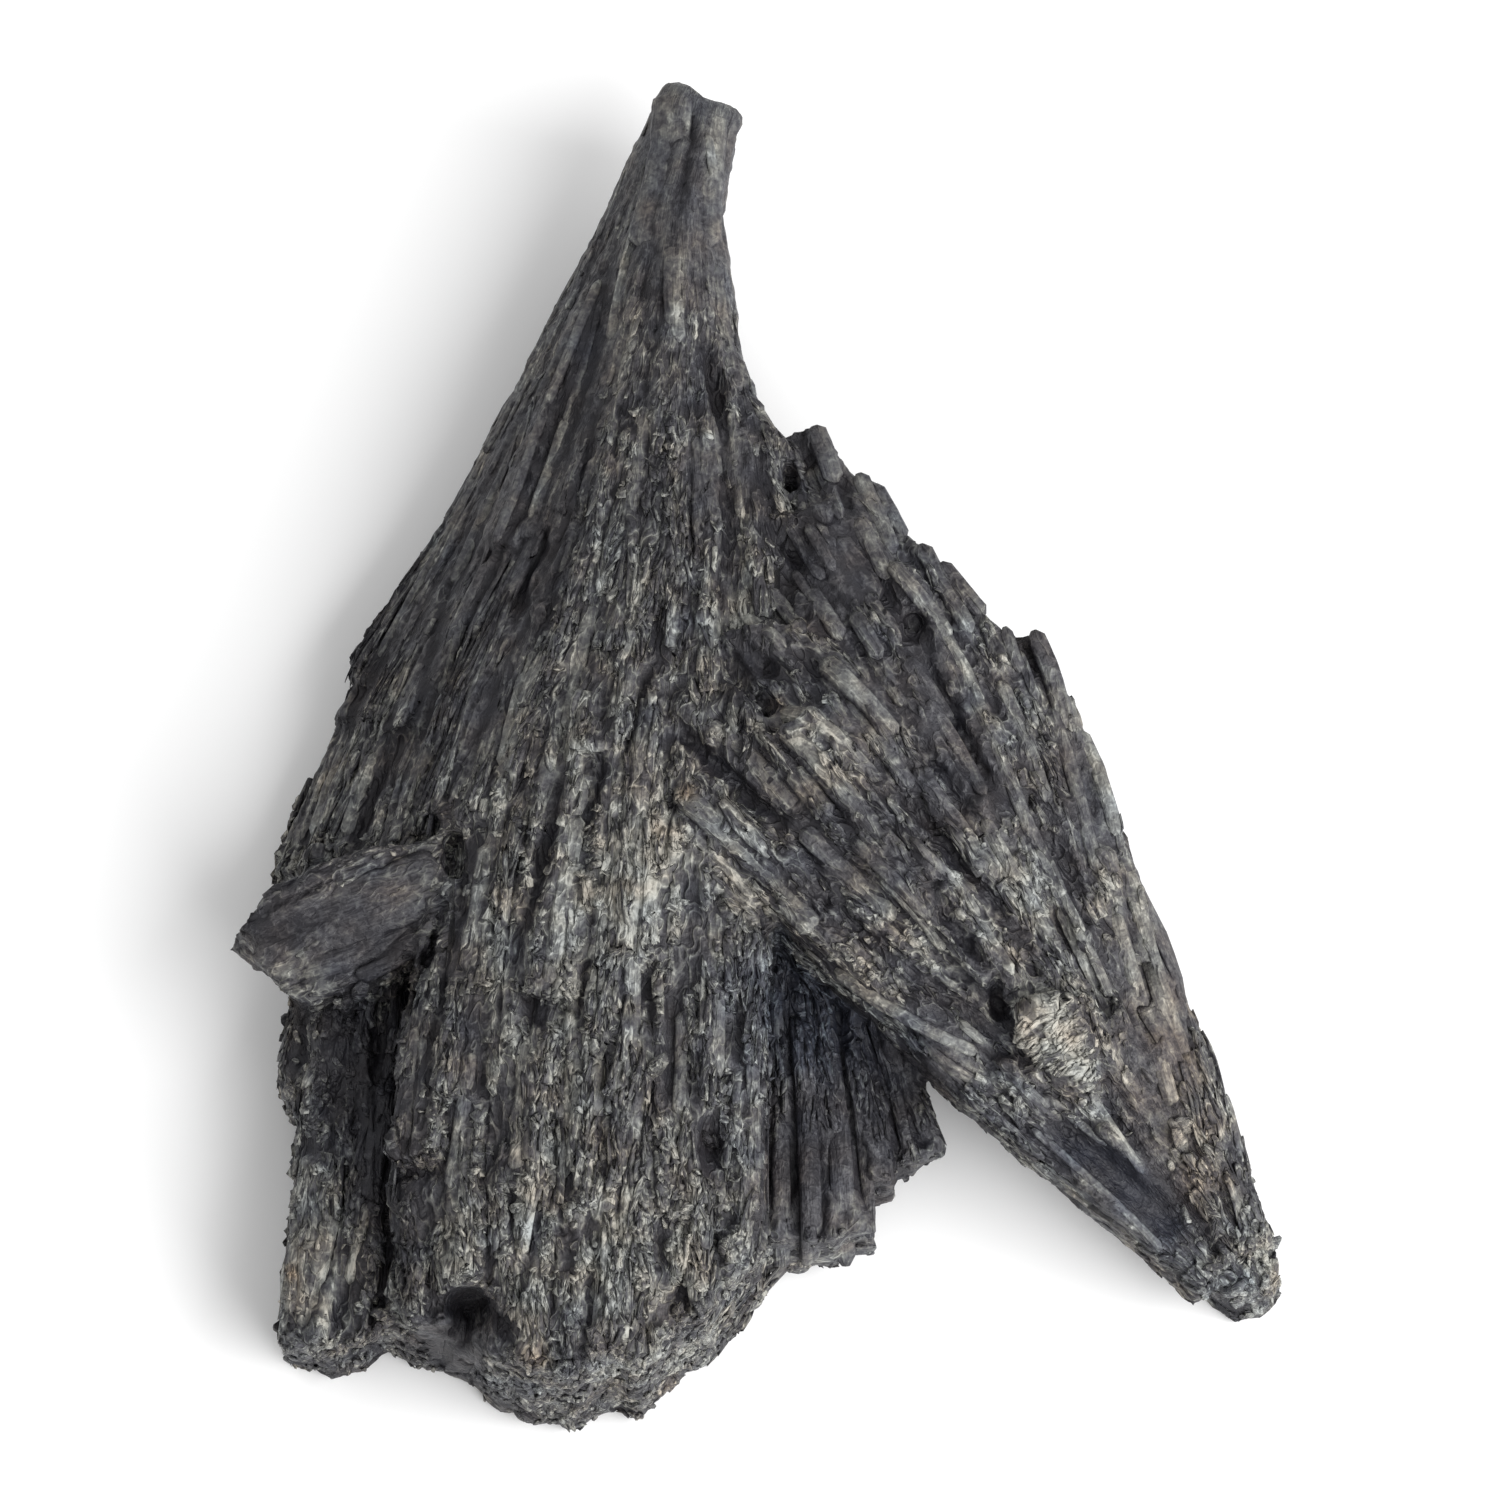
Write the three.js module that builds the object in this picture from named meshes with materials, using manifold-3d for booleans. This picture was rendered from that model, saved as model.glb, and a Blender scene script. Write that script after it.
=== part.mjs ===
// Taramite fan: a hand-sized specimen of black bladed crystals that radiate from two narrow ends.
// The main fan spreads from a narrow handle. A second fan lies across its right side, spreads from
// a tip of its own, and rests that tip on the table. Lower sheaves show under both, and one short
// splinter sticks out on the left. All blades grew into each other, so the specimen is one solid.
//
// Millimetres, +Z up. The origin is at the middle of the bounding box's underside.

import * as THREE from "three";
import { mergeVertices } from "three/addons/utils/BufferGeometryUtils.js";
import Module from "manifold-3d";

const wasm = await Module();
wasm.setup();

// ---- Driving dimensions -----------------------------------------------------------------------

// The specimen is laid out in a drawing seen from SIGHT_ELEVATION above the table. A point is
// [across, up, height]: across and up are measured in that drawing, height from the table.
const SIGHT_ELEVATION = THREE.MathUtils.degToRad(72);
const DRAWING_HEIGHT = 8; // the height above the table at which "up" is true

const OVERLAP = 0.09; // how far a blade reaches into its neighbour, as a share of its width
const RIDGE_RELIEF = 0.5; // height of a ridge above its blade's shoulders
const KEEL_RELIEF = 0.6; // depth of a keel below them
const LEVEL_SPREAD = 0.35; // how much neighbouring blades differ in height
const END_SLANT = 1.1; // how far a broken end leans
const LEAST_THICKNESS = 1.2;
const ROW_JOG = 0.45; // how far a blade's bends are off its neighbour's
const CHIP_DEPTH = 1.3; // how deep an overlying blade's keel sits in the mass below it

// The main fan, from the handle down: its edges and crest across, and their heights.
const MAIN_PROFILE = [
  { up: 39.4, left: -6, crest: -3.7, right: -1, leftTop: 9.6, crestTop: 11.4, rightTop: 9.4, base: 4.8 },
  { up: 37, left: -7.1, crest: -3.9, right: -1.3, leftTop: 8.6, crestTop: 12, rightTop: 9.4, base: 4.6 },
  { up: 33, left: -8.8, crest: -4.2, right: -2.1, leftTop: 7.4, crestTop: 12.8, rightTop: 9.8, base: 4 },
  { up: 28, left: -11.4, crest: -4.6, right: -1.3, leftTop: 6.2, crestTop: 13.8, rightTop: 10.6, base: 3 },
  { up: 21, left: -14.9, crest: -5, right: -0.5, leftTop: 5.6, crestTop: 15.2, rightTop: 13.4, base: 1.4 },
  { up: 12, left: -19.5, crest: -5.8, right: 0.6, leftTop: 5.4, crestTop: 16.6, rightTop: 15.8, base: -0.5 },
  { up: 3, left: -24.7, crest: -6.8, right: 0.9, leftTop: 5.2, crestTop: 17.4, rightTop: 16.6, base: -0.5 },
  { up: -4, left: -27.4, crest: -7.6, right: 0.8, leftTop: 5.4, crestTop: 17.4, rightTop: 16, base: -0.5 },
  { up: -12, left: -29.4, crest: -8.4, right: 0.6, leftTop: 5.4, crestTop: 17, rightTop: 15.4, base: -0.5 },
  { up: -22, left: -30.8, crest: -9.2, right: 0.4, leftTop: 5, crestTop: 15.9, rightTop: 14, base: -0.5 },
  { up: -36, left: -31.2, crest: -9.8, right: 0.3, leftTop: 4.6, crestTop: 13.4, rightTop: 12, base: -0.5 },
];
const FLANK_CURVE = 1.9; // how late the top falls away on either side of the crest

// The second fan spreads from CROSS_APEX, a little past its blunt tip. A place on it is an angle
// above the line that points left, and a distance from the apex.
const CROSS_APEX = { across: 34.5, up: -38.5 };
const CROSS_CREST_ANGLE = 53;
const CROSS_TIP_DISTANCE = 9.5;
const CROSS_REACH = [
  [41, 47],
  [47, 50],
  [53, 54.5],
  [60, 62],
  [62, 62.5],
  [64, 56.5],
  [66, 51],
  [69.4, 42],
];
const CROSS_TIP_HEIGHT = 7;
const CROSS_RISE = 11.6; // from the tip up to the crest's highest point
const CROSS_RISE_LENGTH = 42;
const CROSS_SIDE_FALL = 0.0145; // how fast the top falls away on either side of the crest
const CROSS_END_DROOP = 0.24; // and how fast it falls past its highest point
const CROSS_BASE_SLOPE = 0.27;

// ---- Small helpers ----------------------------------------------------------------------------

// A repeatable random number from 0 to 1 (mulberry32).
let randomState = 140;
function random() {
  randomState = (randomState + 0x6d2b79f5) | 0;
  let t = Math.imul(randomState ^ (randomState >>> 15), 1 | randomState);
  t = (t + Math.imul(t ^ (t >>> 7), 61 | t)) ^ t;
  return ((t ^ (t >>> 14)) >>> 0) / 4294967296;
}
const spread = (amount) => (random() - 0.5) * 2 * amount;
const between = (low, high) => low + (high - low) * random();
const { lerp, clamp } = THREE.MathUtils;

function place([across, up, height]) {
  const y =
    (up - (height - DRAWING_HEIGHT) * Math.cos(SIGHT_ELEVATION)) /
    Math.sin(SIGHT_ELEVATION);
  return new THREE.Vector3(across, y, height);
}

// The closed solid of a geometry, with its faces turned outward.
function solidOf(geometry) {
  geometry.deleteAttribute("normal");
  geometry.deleteAttribute("uv");
  const merged = mergeVertices(geometry, 1e-4);
  const corners = Array.from(merged.index.array);
  const build = (triVerts) =>
    new wasm.Manifold(
      new wasm.Mesh({
        numProp: 3,
        vertProperties: merged.attributes.position.array,
        triVerts: new Uint32Array(triVerts),
      }),
    );
  const solid = build(corners);
  return solid.volume() > 0 ? solid : build(corners.reverse());
}

// A bar whose rings lie on the given sections, each a list of as many points.
function bar(sections) {
  const spans = sections.length - 1;
  const sides = sections[0].length;
  const geometry = new THREE.CylinderGeometry(1, 1, spans, sides, spans);
  const position = geometry.attributes.position;
  const vertex = new THREE.Vector3();
  for (let i = 0; i < position.count; i++) {
    vertex.fromBufferAttribute(position, i);
    const section = sections[Math.round(spans / 2 - vertex.y)];
    const turn = Math.atan2(vertex.x, vertex.z) / (2 * Math.PI);
    const corner = (Math.round(turn * sides) + sides) % sides;
    const onAxis = Math.hypot(vertex.x, vertex.z) < 0.5;
    const middle = section
      .reduce((sum, p) => sum.add(p), new THREE.Vector3())
      .divideScalar(sides);
    const target = onAxis ? middle : section[corner];
    position.setXYZ(i, target.x, target.y, target.z);
  }
  return solidOf(geometry);
}

// ---- Where the fans' surfaces lie -------------------------------------------------------------

function mainRow(up) {
  const last = MAIN_PROFILE.length - 2;
  const found = MAIN_PROFILE.findIndex((row) => row.up <= up) - 1;
  const k = found < -1 ? last : clamp(found, 0, last);
  const [above, below] = [MAIN_PROFILE[k], MAIN_PROFILE[k + 1]];
  const share = (above.up - up) / (above.up - below.up);
  const names = Object.keys(above);
  return Object.fromEntries(names.map((n) => [n, lerp(above[n], below[n], share)]));
}

// A point of the main fan's top: share runs from its left edge (0) to its right edge (1).
function mainTop(share, up, lift = 0) {
  const row = mainRow(up);
  const across = lerp(row.left, row.right, share);
  const toLeft = across < row.crest;
  const edge = toLeft ? row.left : row.right;
  const edgeTop = toLeft ? row.leftTop : row.rightTop;
  const off = Math.abs((across - row.crest) / (edge - row.crest));
  const fall = (row.crestTop - edgeTop) * Math.pow(off, FLANK_CURVE);
  return [across, up, row.crestTop - fall + lift];
}

// A point of the second fan's top.
function crossTop(angle, distance, lift = 0) {
  const radians = THREE.MathUtils.degToRad(angle);
  const past = distance - CROSS_TIP_DISTANCE;
  const share = clamp(past / CROSS_RISE_LENGTH, 0, 1);
  const rise = Math.sin((share * Math.PI) / 2) * CROSS_RISE;
  const off = angle - CROSS_CREST_ANGLE;
  const fall = CROSS_SIDE_FALL * off * off * clamp(past / 28, 0.15, 1);
  const droop = CROSS_END_DROOP * Math.max(0, past - CROSS_RISE_LENGTH);
  return [
    CROSS_APEX.across - distance * Math.cos(radians),
    CROSS_APEX.up + distance * Math.sin(radians),
    CROSS_TIP_HEIGHT + rise - fall - droop + lift,
  ];
}

function crossBase(distance) {
  const rise = (distance - CROSS_TIP_DISTANCE - 4) * CROSS_BASE_SLOPE;
  return clamp(rise, -0.5, 9.5);
}

// A value read off a list of [at, value] pairs.
function along(list, at) {
  const found = list.findIndex((pair) => pair[0] > at);
  const k = clamp((found < 0 ? list.length : found) - 1, 0, list.length - 2);
  const [a, b] = [list[k], list[k + 1]];
  return lerp(a[1], b[1], clamp((at - a[0]) / (b[0] - a[0]), 0, 1));
}

function crossAim([across, up]) {
  const dx = CROSS_APEX.across - across;
  const dy = up - CROSS_APEX.up;
  const angle = THREE.MathUtils.radToDeg(Math.atan2(dy, dx));
  return { angle, distance: Math.hypot(dx, dy) };
}

// ---- Masses and blades ------------------------------------------------------------------------

// A mass is a block lofted through rows, with one ridge along each of its columns. top(share, row)
// gives a point of its upper surface as a drawing point, base(share, row) its underside's height.
function mass({ columns, rows, top, base, relief = () => 1, ragged = 0.6, end = () => 0 }) {
  const steps = columns * 2;
  const spans = rows.length - 1;
  const geometry = new THREE.BoxGeometry(steps, 1, spans, steps, 1, spans);
  const position = geometry.attributes.position;
  const lanes = Array.from({ length: steps + 1 }, (_, i) => ({
    lift: i % 2 ? spread(LEVEL_SPREAD) : -RIDGE_RELIEF * between(0.7, 1.6),
    keel: i % 4 === 2 ? KEEL_RELIEF * between(1.4, 2.2) : 0,
    reach: spread(ragged),
    shift: i % 2 ? spread(0.45) : spread(0.25),
  }));
  for (let i = 0; i < position.count; i++) {
    const step = Math.round(position.getX(i) + steps / 2);
    const k = Math.round(position.getZ(i) + spans / 2);
    const lane = lanes[step];
    const inside = step > 0 && step < steps ? lane.shift : 0;
    const share = (step + inside) / steps;
    const [across, up, height] = top(share, rows[k]);
    const atEnd = k === spans ? lane.reach + end(across) : 0;
    const point = place([across, up, height]);
    point.y -= atEnd;
    const upper = position.getY(i) > 0;
    const low = base(share, rows[k]) + lane.keel;
    const high = Math.max(height + lane.lift * relief(rows[k]), low + 0.6);
    position.setXYZ(i, point.x, point.y, upper ? high : low);
  }
  return solidOf(geometry);
}

// A sheaf is a band of blades side by side. Each station gives the band's left and right top edge
// as drawing points, and the height of its underside. ragged is how far the broken ends differ.
function sheaf({ blades, stations, ragged = 0.8, relief = 1, ends = [] }) {
  const rails = stations.map(([left, right, base]) => ({
    left: place(left),
    right: place(right),
    base,
  }));
  const made = [];
  for (let i = 0; i < blades; i++) {
    const level = spread(LEVEL_SPREAD * relief);
    const ridgeShare = 0.5 + spread(0.22);
    const drop = RIDGE_RELIEF * relief * between(0.7, 1.3);
    const keelDrop = KEEL_RELIEF * spread(1);
    const reach = (ends[i] ?? 0) + spread(ragged);
    const lean = spread(END_SLANT);
    const skew = spread(END_SLANT * 0.5);
    const sections = rails.map(({ left, right, base }, k) => {
      const before = rails[Math.max(0, k - 1)];
      const after = rails[Math.min(k + 1, rails.length - 1)];
      const onward = after.left.clone().add(after.right);
      onward.sub(before.left).sub(before.right).setZ(0).normalize();
      const from = left.clone().lerp(right, (i - OVERLAP) / blades);
      const to = left.clone().lerp(right, (i + 1 + OVERLAP) / blades);
      const ridge = from.clone().lerp(to, ridgeShare);
      from.z += level - drop;
      ridge.z += level;
      to.z += level - drop;
      const lowFrom = from.clone().setZ(base + keelDrop);
      const lowTo = to.clone().setZ(base);
      from.z = Math.max(from.z, lowFrom.z + LEAST_THICKNESS / 2);
      to.z = Math.max(to.z, lowTo.z + LEAST_THICKNESS / 2);
      ridge.z = Math.max(ridge.z, base + LEAST_THICKNESS);
      const section = [from, ridge, to, lowTo, lowFrom];
      const atEnd = k === rails.length - 1;
      const jog = atEnd ? reach : spread(ROW_JOG);
      section.forEach((p, corner) => {
        const high = corner < 3 ? lean : -lean;
        const side = corner === 0 || corner === 4 ? skew : -skew;
        p.addScaledVector(onward, jog + (atEnd ? (high + side) / 2 : 0));
      });
      return section;
    });
    made.push(bar(sections));
  }
  return made;
}

// A chip is one blade that rises out of a mass and breaks off proud of it. at(row, side, lift)
// gives a drawing point of the mass's top, side millimetres off the blade's own line.
function chip({ at, rows, width, proud, ridged = true }) {
  const ridgeShare = spread(0.3);
  const slant = spread(0.6);
  const sections = rows.map((row, k) => {
    const share = k / (rows.length - 1);
    const lift = lerp(-0.75, proud, Math.pow(share, 0.6));
    const half = (width / 2) * lerp(0.8, 1, share);
    const shoulder = lift - 0.18;
    const left = place(at(row, -half, shoulder));
    const ridge = place(at(row, ridgeShare * half, lift));
    const right = place(at(row, half, shoulder));
    const keel = place(at(row, 0, -CHIP_DEPTH));
    if (k === rows.length - 1) {
      left.y += slant;
      right.y -= slant;
    }
    return ridged ? [left, ridge, right, keel] : [left, right, keel];
  });
  return bar(sections);
}

function mainChip({ across, up, length, width, proud = 0.45, ridged }) {
  const row = mainRow(up);
  const share = (across - row.left) / (row.right - row.left);
  const at = (upHere, side, lift) => {
    const here = mainRow(upHere);
    return mainTop(share + side / (here.right - here.left), upHere, lift);
  };
  const rows = length < 11 ? [up + length, up] : [up + length, up + length * 0.45, up];
  return chip({ at, rows, width, proud, ridged });
}

function crossChip({ across, up, length, width, proud = 0.4, ridged }) {
  const { angle, distance } = crossAim([across, up]);
  const at = (here, side, lift) => {
    const turn = THREE.MathUtils.radToDeg(side / here);
    return crossTop(angle + turn, here, lift);
  };
  return chip({ at, rows: [distance - length, distance], width, proud, ridged });
}

// A sheaf of the second fan. Its broken end runs between two drawing points.
function crossSheaf(blades, low, high, options = {}) {
  const { length = 30, lift = 0, thick, ...rest } = options;
  const [first, second] = [crossAim(low), crossAim(high)];
  const shares = length > 16 ? [1, 0.5, 0] : [1, 0];
  const stations = shares.map((share) => {
    const back = length * share;
    const left = crossTop(first.angle, first.distance - back, lift - share * 0.8);
    const right = crossTop(second.angle, second.distance - back, lift - share * 0.8);
    const lowest = Math.min(left[2], right[2]) - (thick ?? 3);
    const base = thick ? lowest : Math.min(lowest, crossBase(first.distance - back) + 2);
    return [left, right, base];
  });
  return sheaf({ blades, stations, ...rest });
}

// A gouge is a bar to be cut away: it reaches from a depth up past the surface.
function gouge(stations) {
  return bar(
    stations.map(([left, right, depth]) => {
      const [high, low] = [26, depth];
      const [a, b] = [place(left), place(right)];
      const bottom = a.clone().lerp(b, 0.4).setZ(low);
      const wide = (from, to) => from.clone().lerp(to, -1.2).setZ(high);
      return [wide(a, b), wide(b, a), bottom];
    }),
  );
}

// ---- Main fan ---------------------------------------------------------------------------------

// How far past its last row the lower body reaches, by how far across.
const FOOT_REACH = [
  [-22, -3.8],
  [-19.6, -3],
  [-16.2, -1.7],
  [-15, -0.3],
  [-12, 0.4],
  [-9.6, 0.1],
  [-8.9, -1.4],
  [-7.6, -0.3],
  [-5, -1.6],
  [-4, -2.9],
  [-2, -3.9],
  [-1, -5.3],
  [0.4, -7.4],
];

const SHOULDER = [
  { up: 25, left: -2.4, right: -1.3, height: 13.4 },
  { up: 20.6, left: -2, right: 0.1, height: 14.6 },
  { up: 18, left: -1.6, right: 2.9, height: 15.4 },
  { up: 12, left: -0.8, right: 4, height: 16.5 },
  { up: 3, left: 0, right: 3.6, height: 17 },
  { up: -5, left: -0.4, right: 1.4, height: 16 },
];

// The handle is nearly smooth; the ridges grow down the fan.
const HANDLE_RELIEF = [
  [0, 1],
  [12, 0.9],
  [28, 0.5],
  [36, 0.12],
];

const mainMasses = [
  // handle, shoulders and the upper body down to the first broken ends on the flank
  mass({
    columns: 9,
    rows: [39.4, 37, 33, 28, 21, 12, 2.2],
    top: (share, up) => mainTop(share, up + (up > 39 ? 1.2 - share * 1.6 : 0)),
    base: (share, up) => mainRow(up).base,
    relief: (up) => along(HANDLE_RELIEF, up),
    ragged: 0.4,
  }),
  // the shoulder that widens towards the second fan
  mass({
    columns: 3,
    rows: SHOULDER.map((row) => row.up),
    top: (share, up) => {
      const { left, right, height } = SHOULDER.find((row) => row.up === up);
      return [lerp(left, right, share), up, height - 1.6 * share * share];
    },
    base: (share, up) => (up > 15 ? 3.5 : 1),
  }),
  // second layer of the flank, under the first
  mass({
    columns: 4,
    rows: [8, 0, -6.8],
    top: (share, up) => mainTop(share * 0.37 - (up < -5 ? 0.014 : -0.006), up, -0.6),
    base: () => -0.5,
    ragged: 0.5,
  }),
  // lower body
  mass({
    columns: 9,
    rows: [10, 3, -5, -16, -26, -35],
    top: (share, up) => {
      const emerging = clamp((6 - up) / 8, -0.6, 0.4);
      return mainTop(lerp(0.315, 1, share), up, emerging);
    },
    base: () => -0.6,
    end: (across) => along(FOOT_REACH, across),
  }),
];

// Blades whose broken ends show as steps: across and up give the end's middle.
const mainSteps = [
  // on the flank
  { across: -23.4, up: 4.4, length: 12, width: 2.1, proud: 0.5 },
  { across: -21.2, up: 1.6, length: 14, width: 2, proud: 0.7 },
  { across: -20.6, up: 9, length: 10, width: 1.6, proud: 0.4 },
  { across: -18.4, up: -3.4, length: 16, width: 2.4, proud: 0.6 },
  { across: -17.4, up: 12.6, length: 11, width: 1.5, proud: 0.4 },
  // the raised ridge beside the dark valley
  { across: -15.2, up: 12.4, length: 15, width: 1.7, proud: 0.8 },
  { across: -12.6, up: 20, length: 12, width: 1.4, proud: 0.9 },
  { across: -13.6, up: 13, length: 9, width: 1.3, proud: 0.4 },
  // around the middle
  { across: -9.5, up: 0.3, length: 10, width: 2.3, proud: 0.9 },
  { across: -13.2, up: -1.6, length: 11, width: 2, proud: 0.6 },
  { across: -15.9, up: -3.6, length: 9, width: 1.9, proud: 0.7 },
  { across: -12.4, up: -13.9, length: 13, width: 3.2, proud: 0.9 },
  { across: -6.6, up: -11.4, length: 14, width: 3, proud: 0.7 },
  { across: -2.4, up: -13.6, length: 12, width: 2.6, proud: 0.6 },
  { across: -8.9, up: -16.2, length: 12, width: 1.8, proud: 0.6 },
  // lower body
  { across: -19.9, up: -23.2, length: 17, width: 2.9, proud: 0.9 },
  { across: -17.2, up: -19.8, length: 12, width: 2.2, proud: 0.7 },
  { across: -14.4, up: -25, length: 9, width: 1.9, proud: 0.8 },
  { across: -10.4, up: -25.8, length: 10, width: 1.8, proud: 0.8 },
  { across: -17, up: -30.2, length: 8, width: 2.6, proud: 0.8 },
  { across: -6.9, up: -30.4, length: 14, width: 1.9, proud: 0.6 },
  { across: -12.3, up: -33.6, length: 10, width: 2.5, proud: 0.5 },
  { across: -1.3, up: -28.6, length: 9, width: 1.7, proud: 0.6 },
  { across: -4.2, up: -26.4, length: 10, width: 1.7, proud: 0.7 },
].map(mainChip);

// Shorter blades between them, in rows that get wider down the fan.
const mainChips = [];
const CHIP_ROWS = [
  [24, 2],
  [16, 3],
  [8, 4],
  [1, 5],
  [-6, 5],
  [-13, 5],
  [-20, 5],
  [-27, 4],
];
for (const [up, count] of CHIP_ROWS) {
  const row = mainRow(up);
  const leftmost = up > 0 ? row.left + 4 : -19.5;
  for (let i = 0; i < count; i++) {
    const across = lerp(leftmost, row.right - 1.8, (i + 0.5 + spread(0.35)) / count);
    mainChips.push(
      mainChip({
        across,
        up: up + spread(3),
        length: between(5, 9),
        width: between(1.1, 1.9),
        proud: between(0.2, up > 5 ? 0.35 : 0.6),
        ridged: i % 3 === 0,
      }),
    );
  }
}

// ---- Lower sheaves ----------------------------------------------------------------------------

// The left edge of the low sheaf on the left, by how far down.
const LOW_LEFT_EDGE = [
  [5, -26.6],
  [14, -27],
  [22, -26.8],
  [29, -27.4],
  [33.8, -27.3],
];

const lowerSheaves = [
  // left: a low sheaf behind the gap
  mass({
    columns: 4,
    rows: [-5, -14, -22, -29, -33.8],
    top: (share, up) => [
      lerp(along(LOW_LEFT_EDGE, -up), -20.2, share),
      up,
      8 + 0.8 * Math.sin(share * Math.PI),
    ],
    base: (share, up) => (up < -30 ? 2.6 * Math.pow(share, 4) - 0.6 : -0.6),
    end: (across) => (across > -22.2 ? -1 : 0),
    relief: () => 1.4,
    ragged: 0.3,
  }),
  sheaf({
    blades: 2,
    ragged: 0.3,
    stations: [
      [[-26.6, -21, 7.2], [-24.6, -21, 8.6], 2],
      [[-27.6, -33.8, 8], [-25.4, -34, 9.4], 2],
    ],
  }),
  sheaf({
    blades: 2,
    ragged: 0.5,
    stations: [
      [[-23.8, -19, 8.2], [-21.6, -19, 8.8], 4],
      [[-24.4, -31.4, 8.6], [-22.2, -31.6, 9.4], 4],
    ],
  }),
  // a lump on its left edge
  sheaf({
    blades: 2,
    ragged: 0.2,
    stations: [
      [[-27, -14.8, 7], [-24.4, -15.2, 8.8], 1],
      [[-27.9, -17.4, 7], [-24.8, -17.8, 9.2], 1],
      [[-27.2, -20.4, 6.6], [-24.6, -20.6, 8.4], 1],
    ],
  }),
  // the blade that floors the hollow at the lower left end
  sheaf({
    blades: 2,
    ragged: 0.3,
    stations: [
      [[-20.8, -24, 6], [-15.5, -24, 6], -0.5],
      [[-19.8, -33.2, 4.8], [-15.8, -34.2, 5.2], -0.5],
    ],
  }),
  // right: the sheaf behind the crotch, whose blades end one by one
  mass({
    columns: 4,
    rows: [-4, -14, -22],
    top: (share, up) => [
      lerp(-1, lerp(4.5, 10.4, (-4 - up) / 18), share),
      up,
      lerp(10, 7.4, (-4 - up) / 18) - share * 1.6,
    ],
    base: (share, up) => (up < -20 ? 1.4 : 0.4),
  }),
  sheaf({
    blades: 3,
    ragged: 0.25,
    stations: [
      [[-0.4, -10, 9.2], [3.4, -10, 9.4], 0.5],
      [[0, -19, 8.8], [5, -19, 8.8], 0],
      [[0.5, -28.2, 7.6], [6.7, -27.4, 7.2], 1.6],
    ],
    ends: [0.1, 0.3, 0.3],
  }),
  sheaf({
    blades: 1,
    ragged: 0.1,
    stations: [
      [[3, -10, 8.8], [4.4, -10, 8.6], 0.5],
      [[4.9, -18, 8.6], [6.4, -17.4, 8.2], 0.4],
      [[6.5, -25, 7.4], [8, -24.6, 6.9], 2.2],
    ],
  }),
  sheaf({
    blades: 1,
    ragged: 0.1,
    stations: [
      [[4.4, -10, 8.5], [5.6, -10, 8.2], 0.5],
      [[6.3, -17, 8.2], [7.6, -16.4, 7.8], 0.4],
      [[8, -23.8, 6.9], [9.3, -23.3, 6.4], 2.2],
    ],
  }),
  sheaf({
    blades: 1,
    ragged: 0.1,
    stations: [
      [[5.4, -10, 8], [7, -10, 7.8], 0.5],
      [[7.2, -16, 8], [8.6, -15.4, 7.4], 0.4],
      [[9.5, -23.3, 6.4], [10.9, -22.8, 5.8], 2.4],
    ],
  }),
];

// ---- Side splinter ----------------------------------------------------------------------------

const sideSplinter = [
  // the chip itself, from the hole where it enters the body to its broken end on the left
  sheaf({
    blades: 3,
    ragged: 0.15,
    relief: 0.5,
    stations: [
      [[-17.4, -8.6, 13.2], [-17.8, -4.8, 14], 8.6],
      [[-21.6, -11.4, 12.6], [-22.8, -5.4, 13.4], 8],
      [[-24.2, -13.2, 11.8], [-27.6, -7.4, 12.4], 7.6],
      [[-26.6, -14.1, 10.8], [-30.3, -9.9, 11.2], 7.2],
    ],
  }),
  // the thin blade along its lower edge
  sheaf({
    blades: 1,
    ragged: 0.1,
    stations: [
      [[-17.4, -9.4, 12.2], [-17.2, -8.2, 13], 8.4],
      [[-21, -12.4, 11.6], [-20.4, -11, 12.6], 8],
      [[-23.9, -14.2, 10.6], [-23.2, -12.8, 11.6], 7.4],
    ],
  }),
];

// ---- Second fan -------------------------------------------------------------------------------

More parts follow.
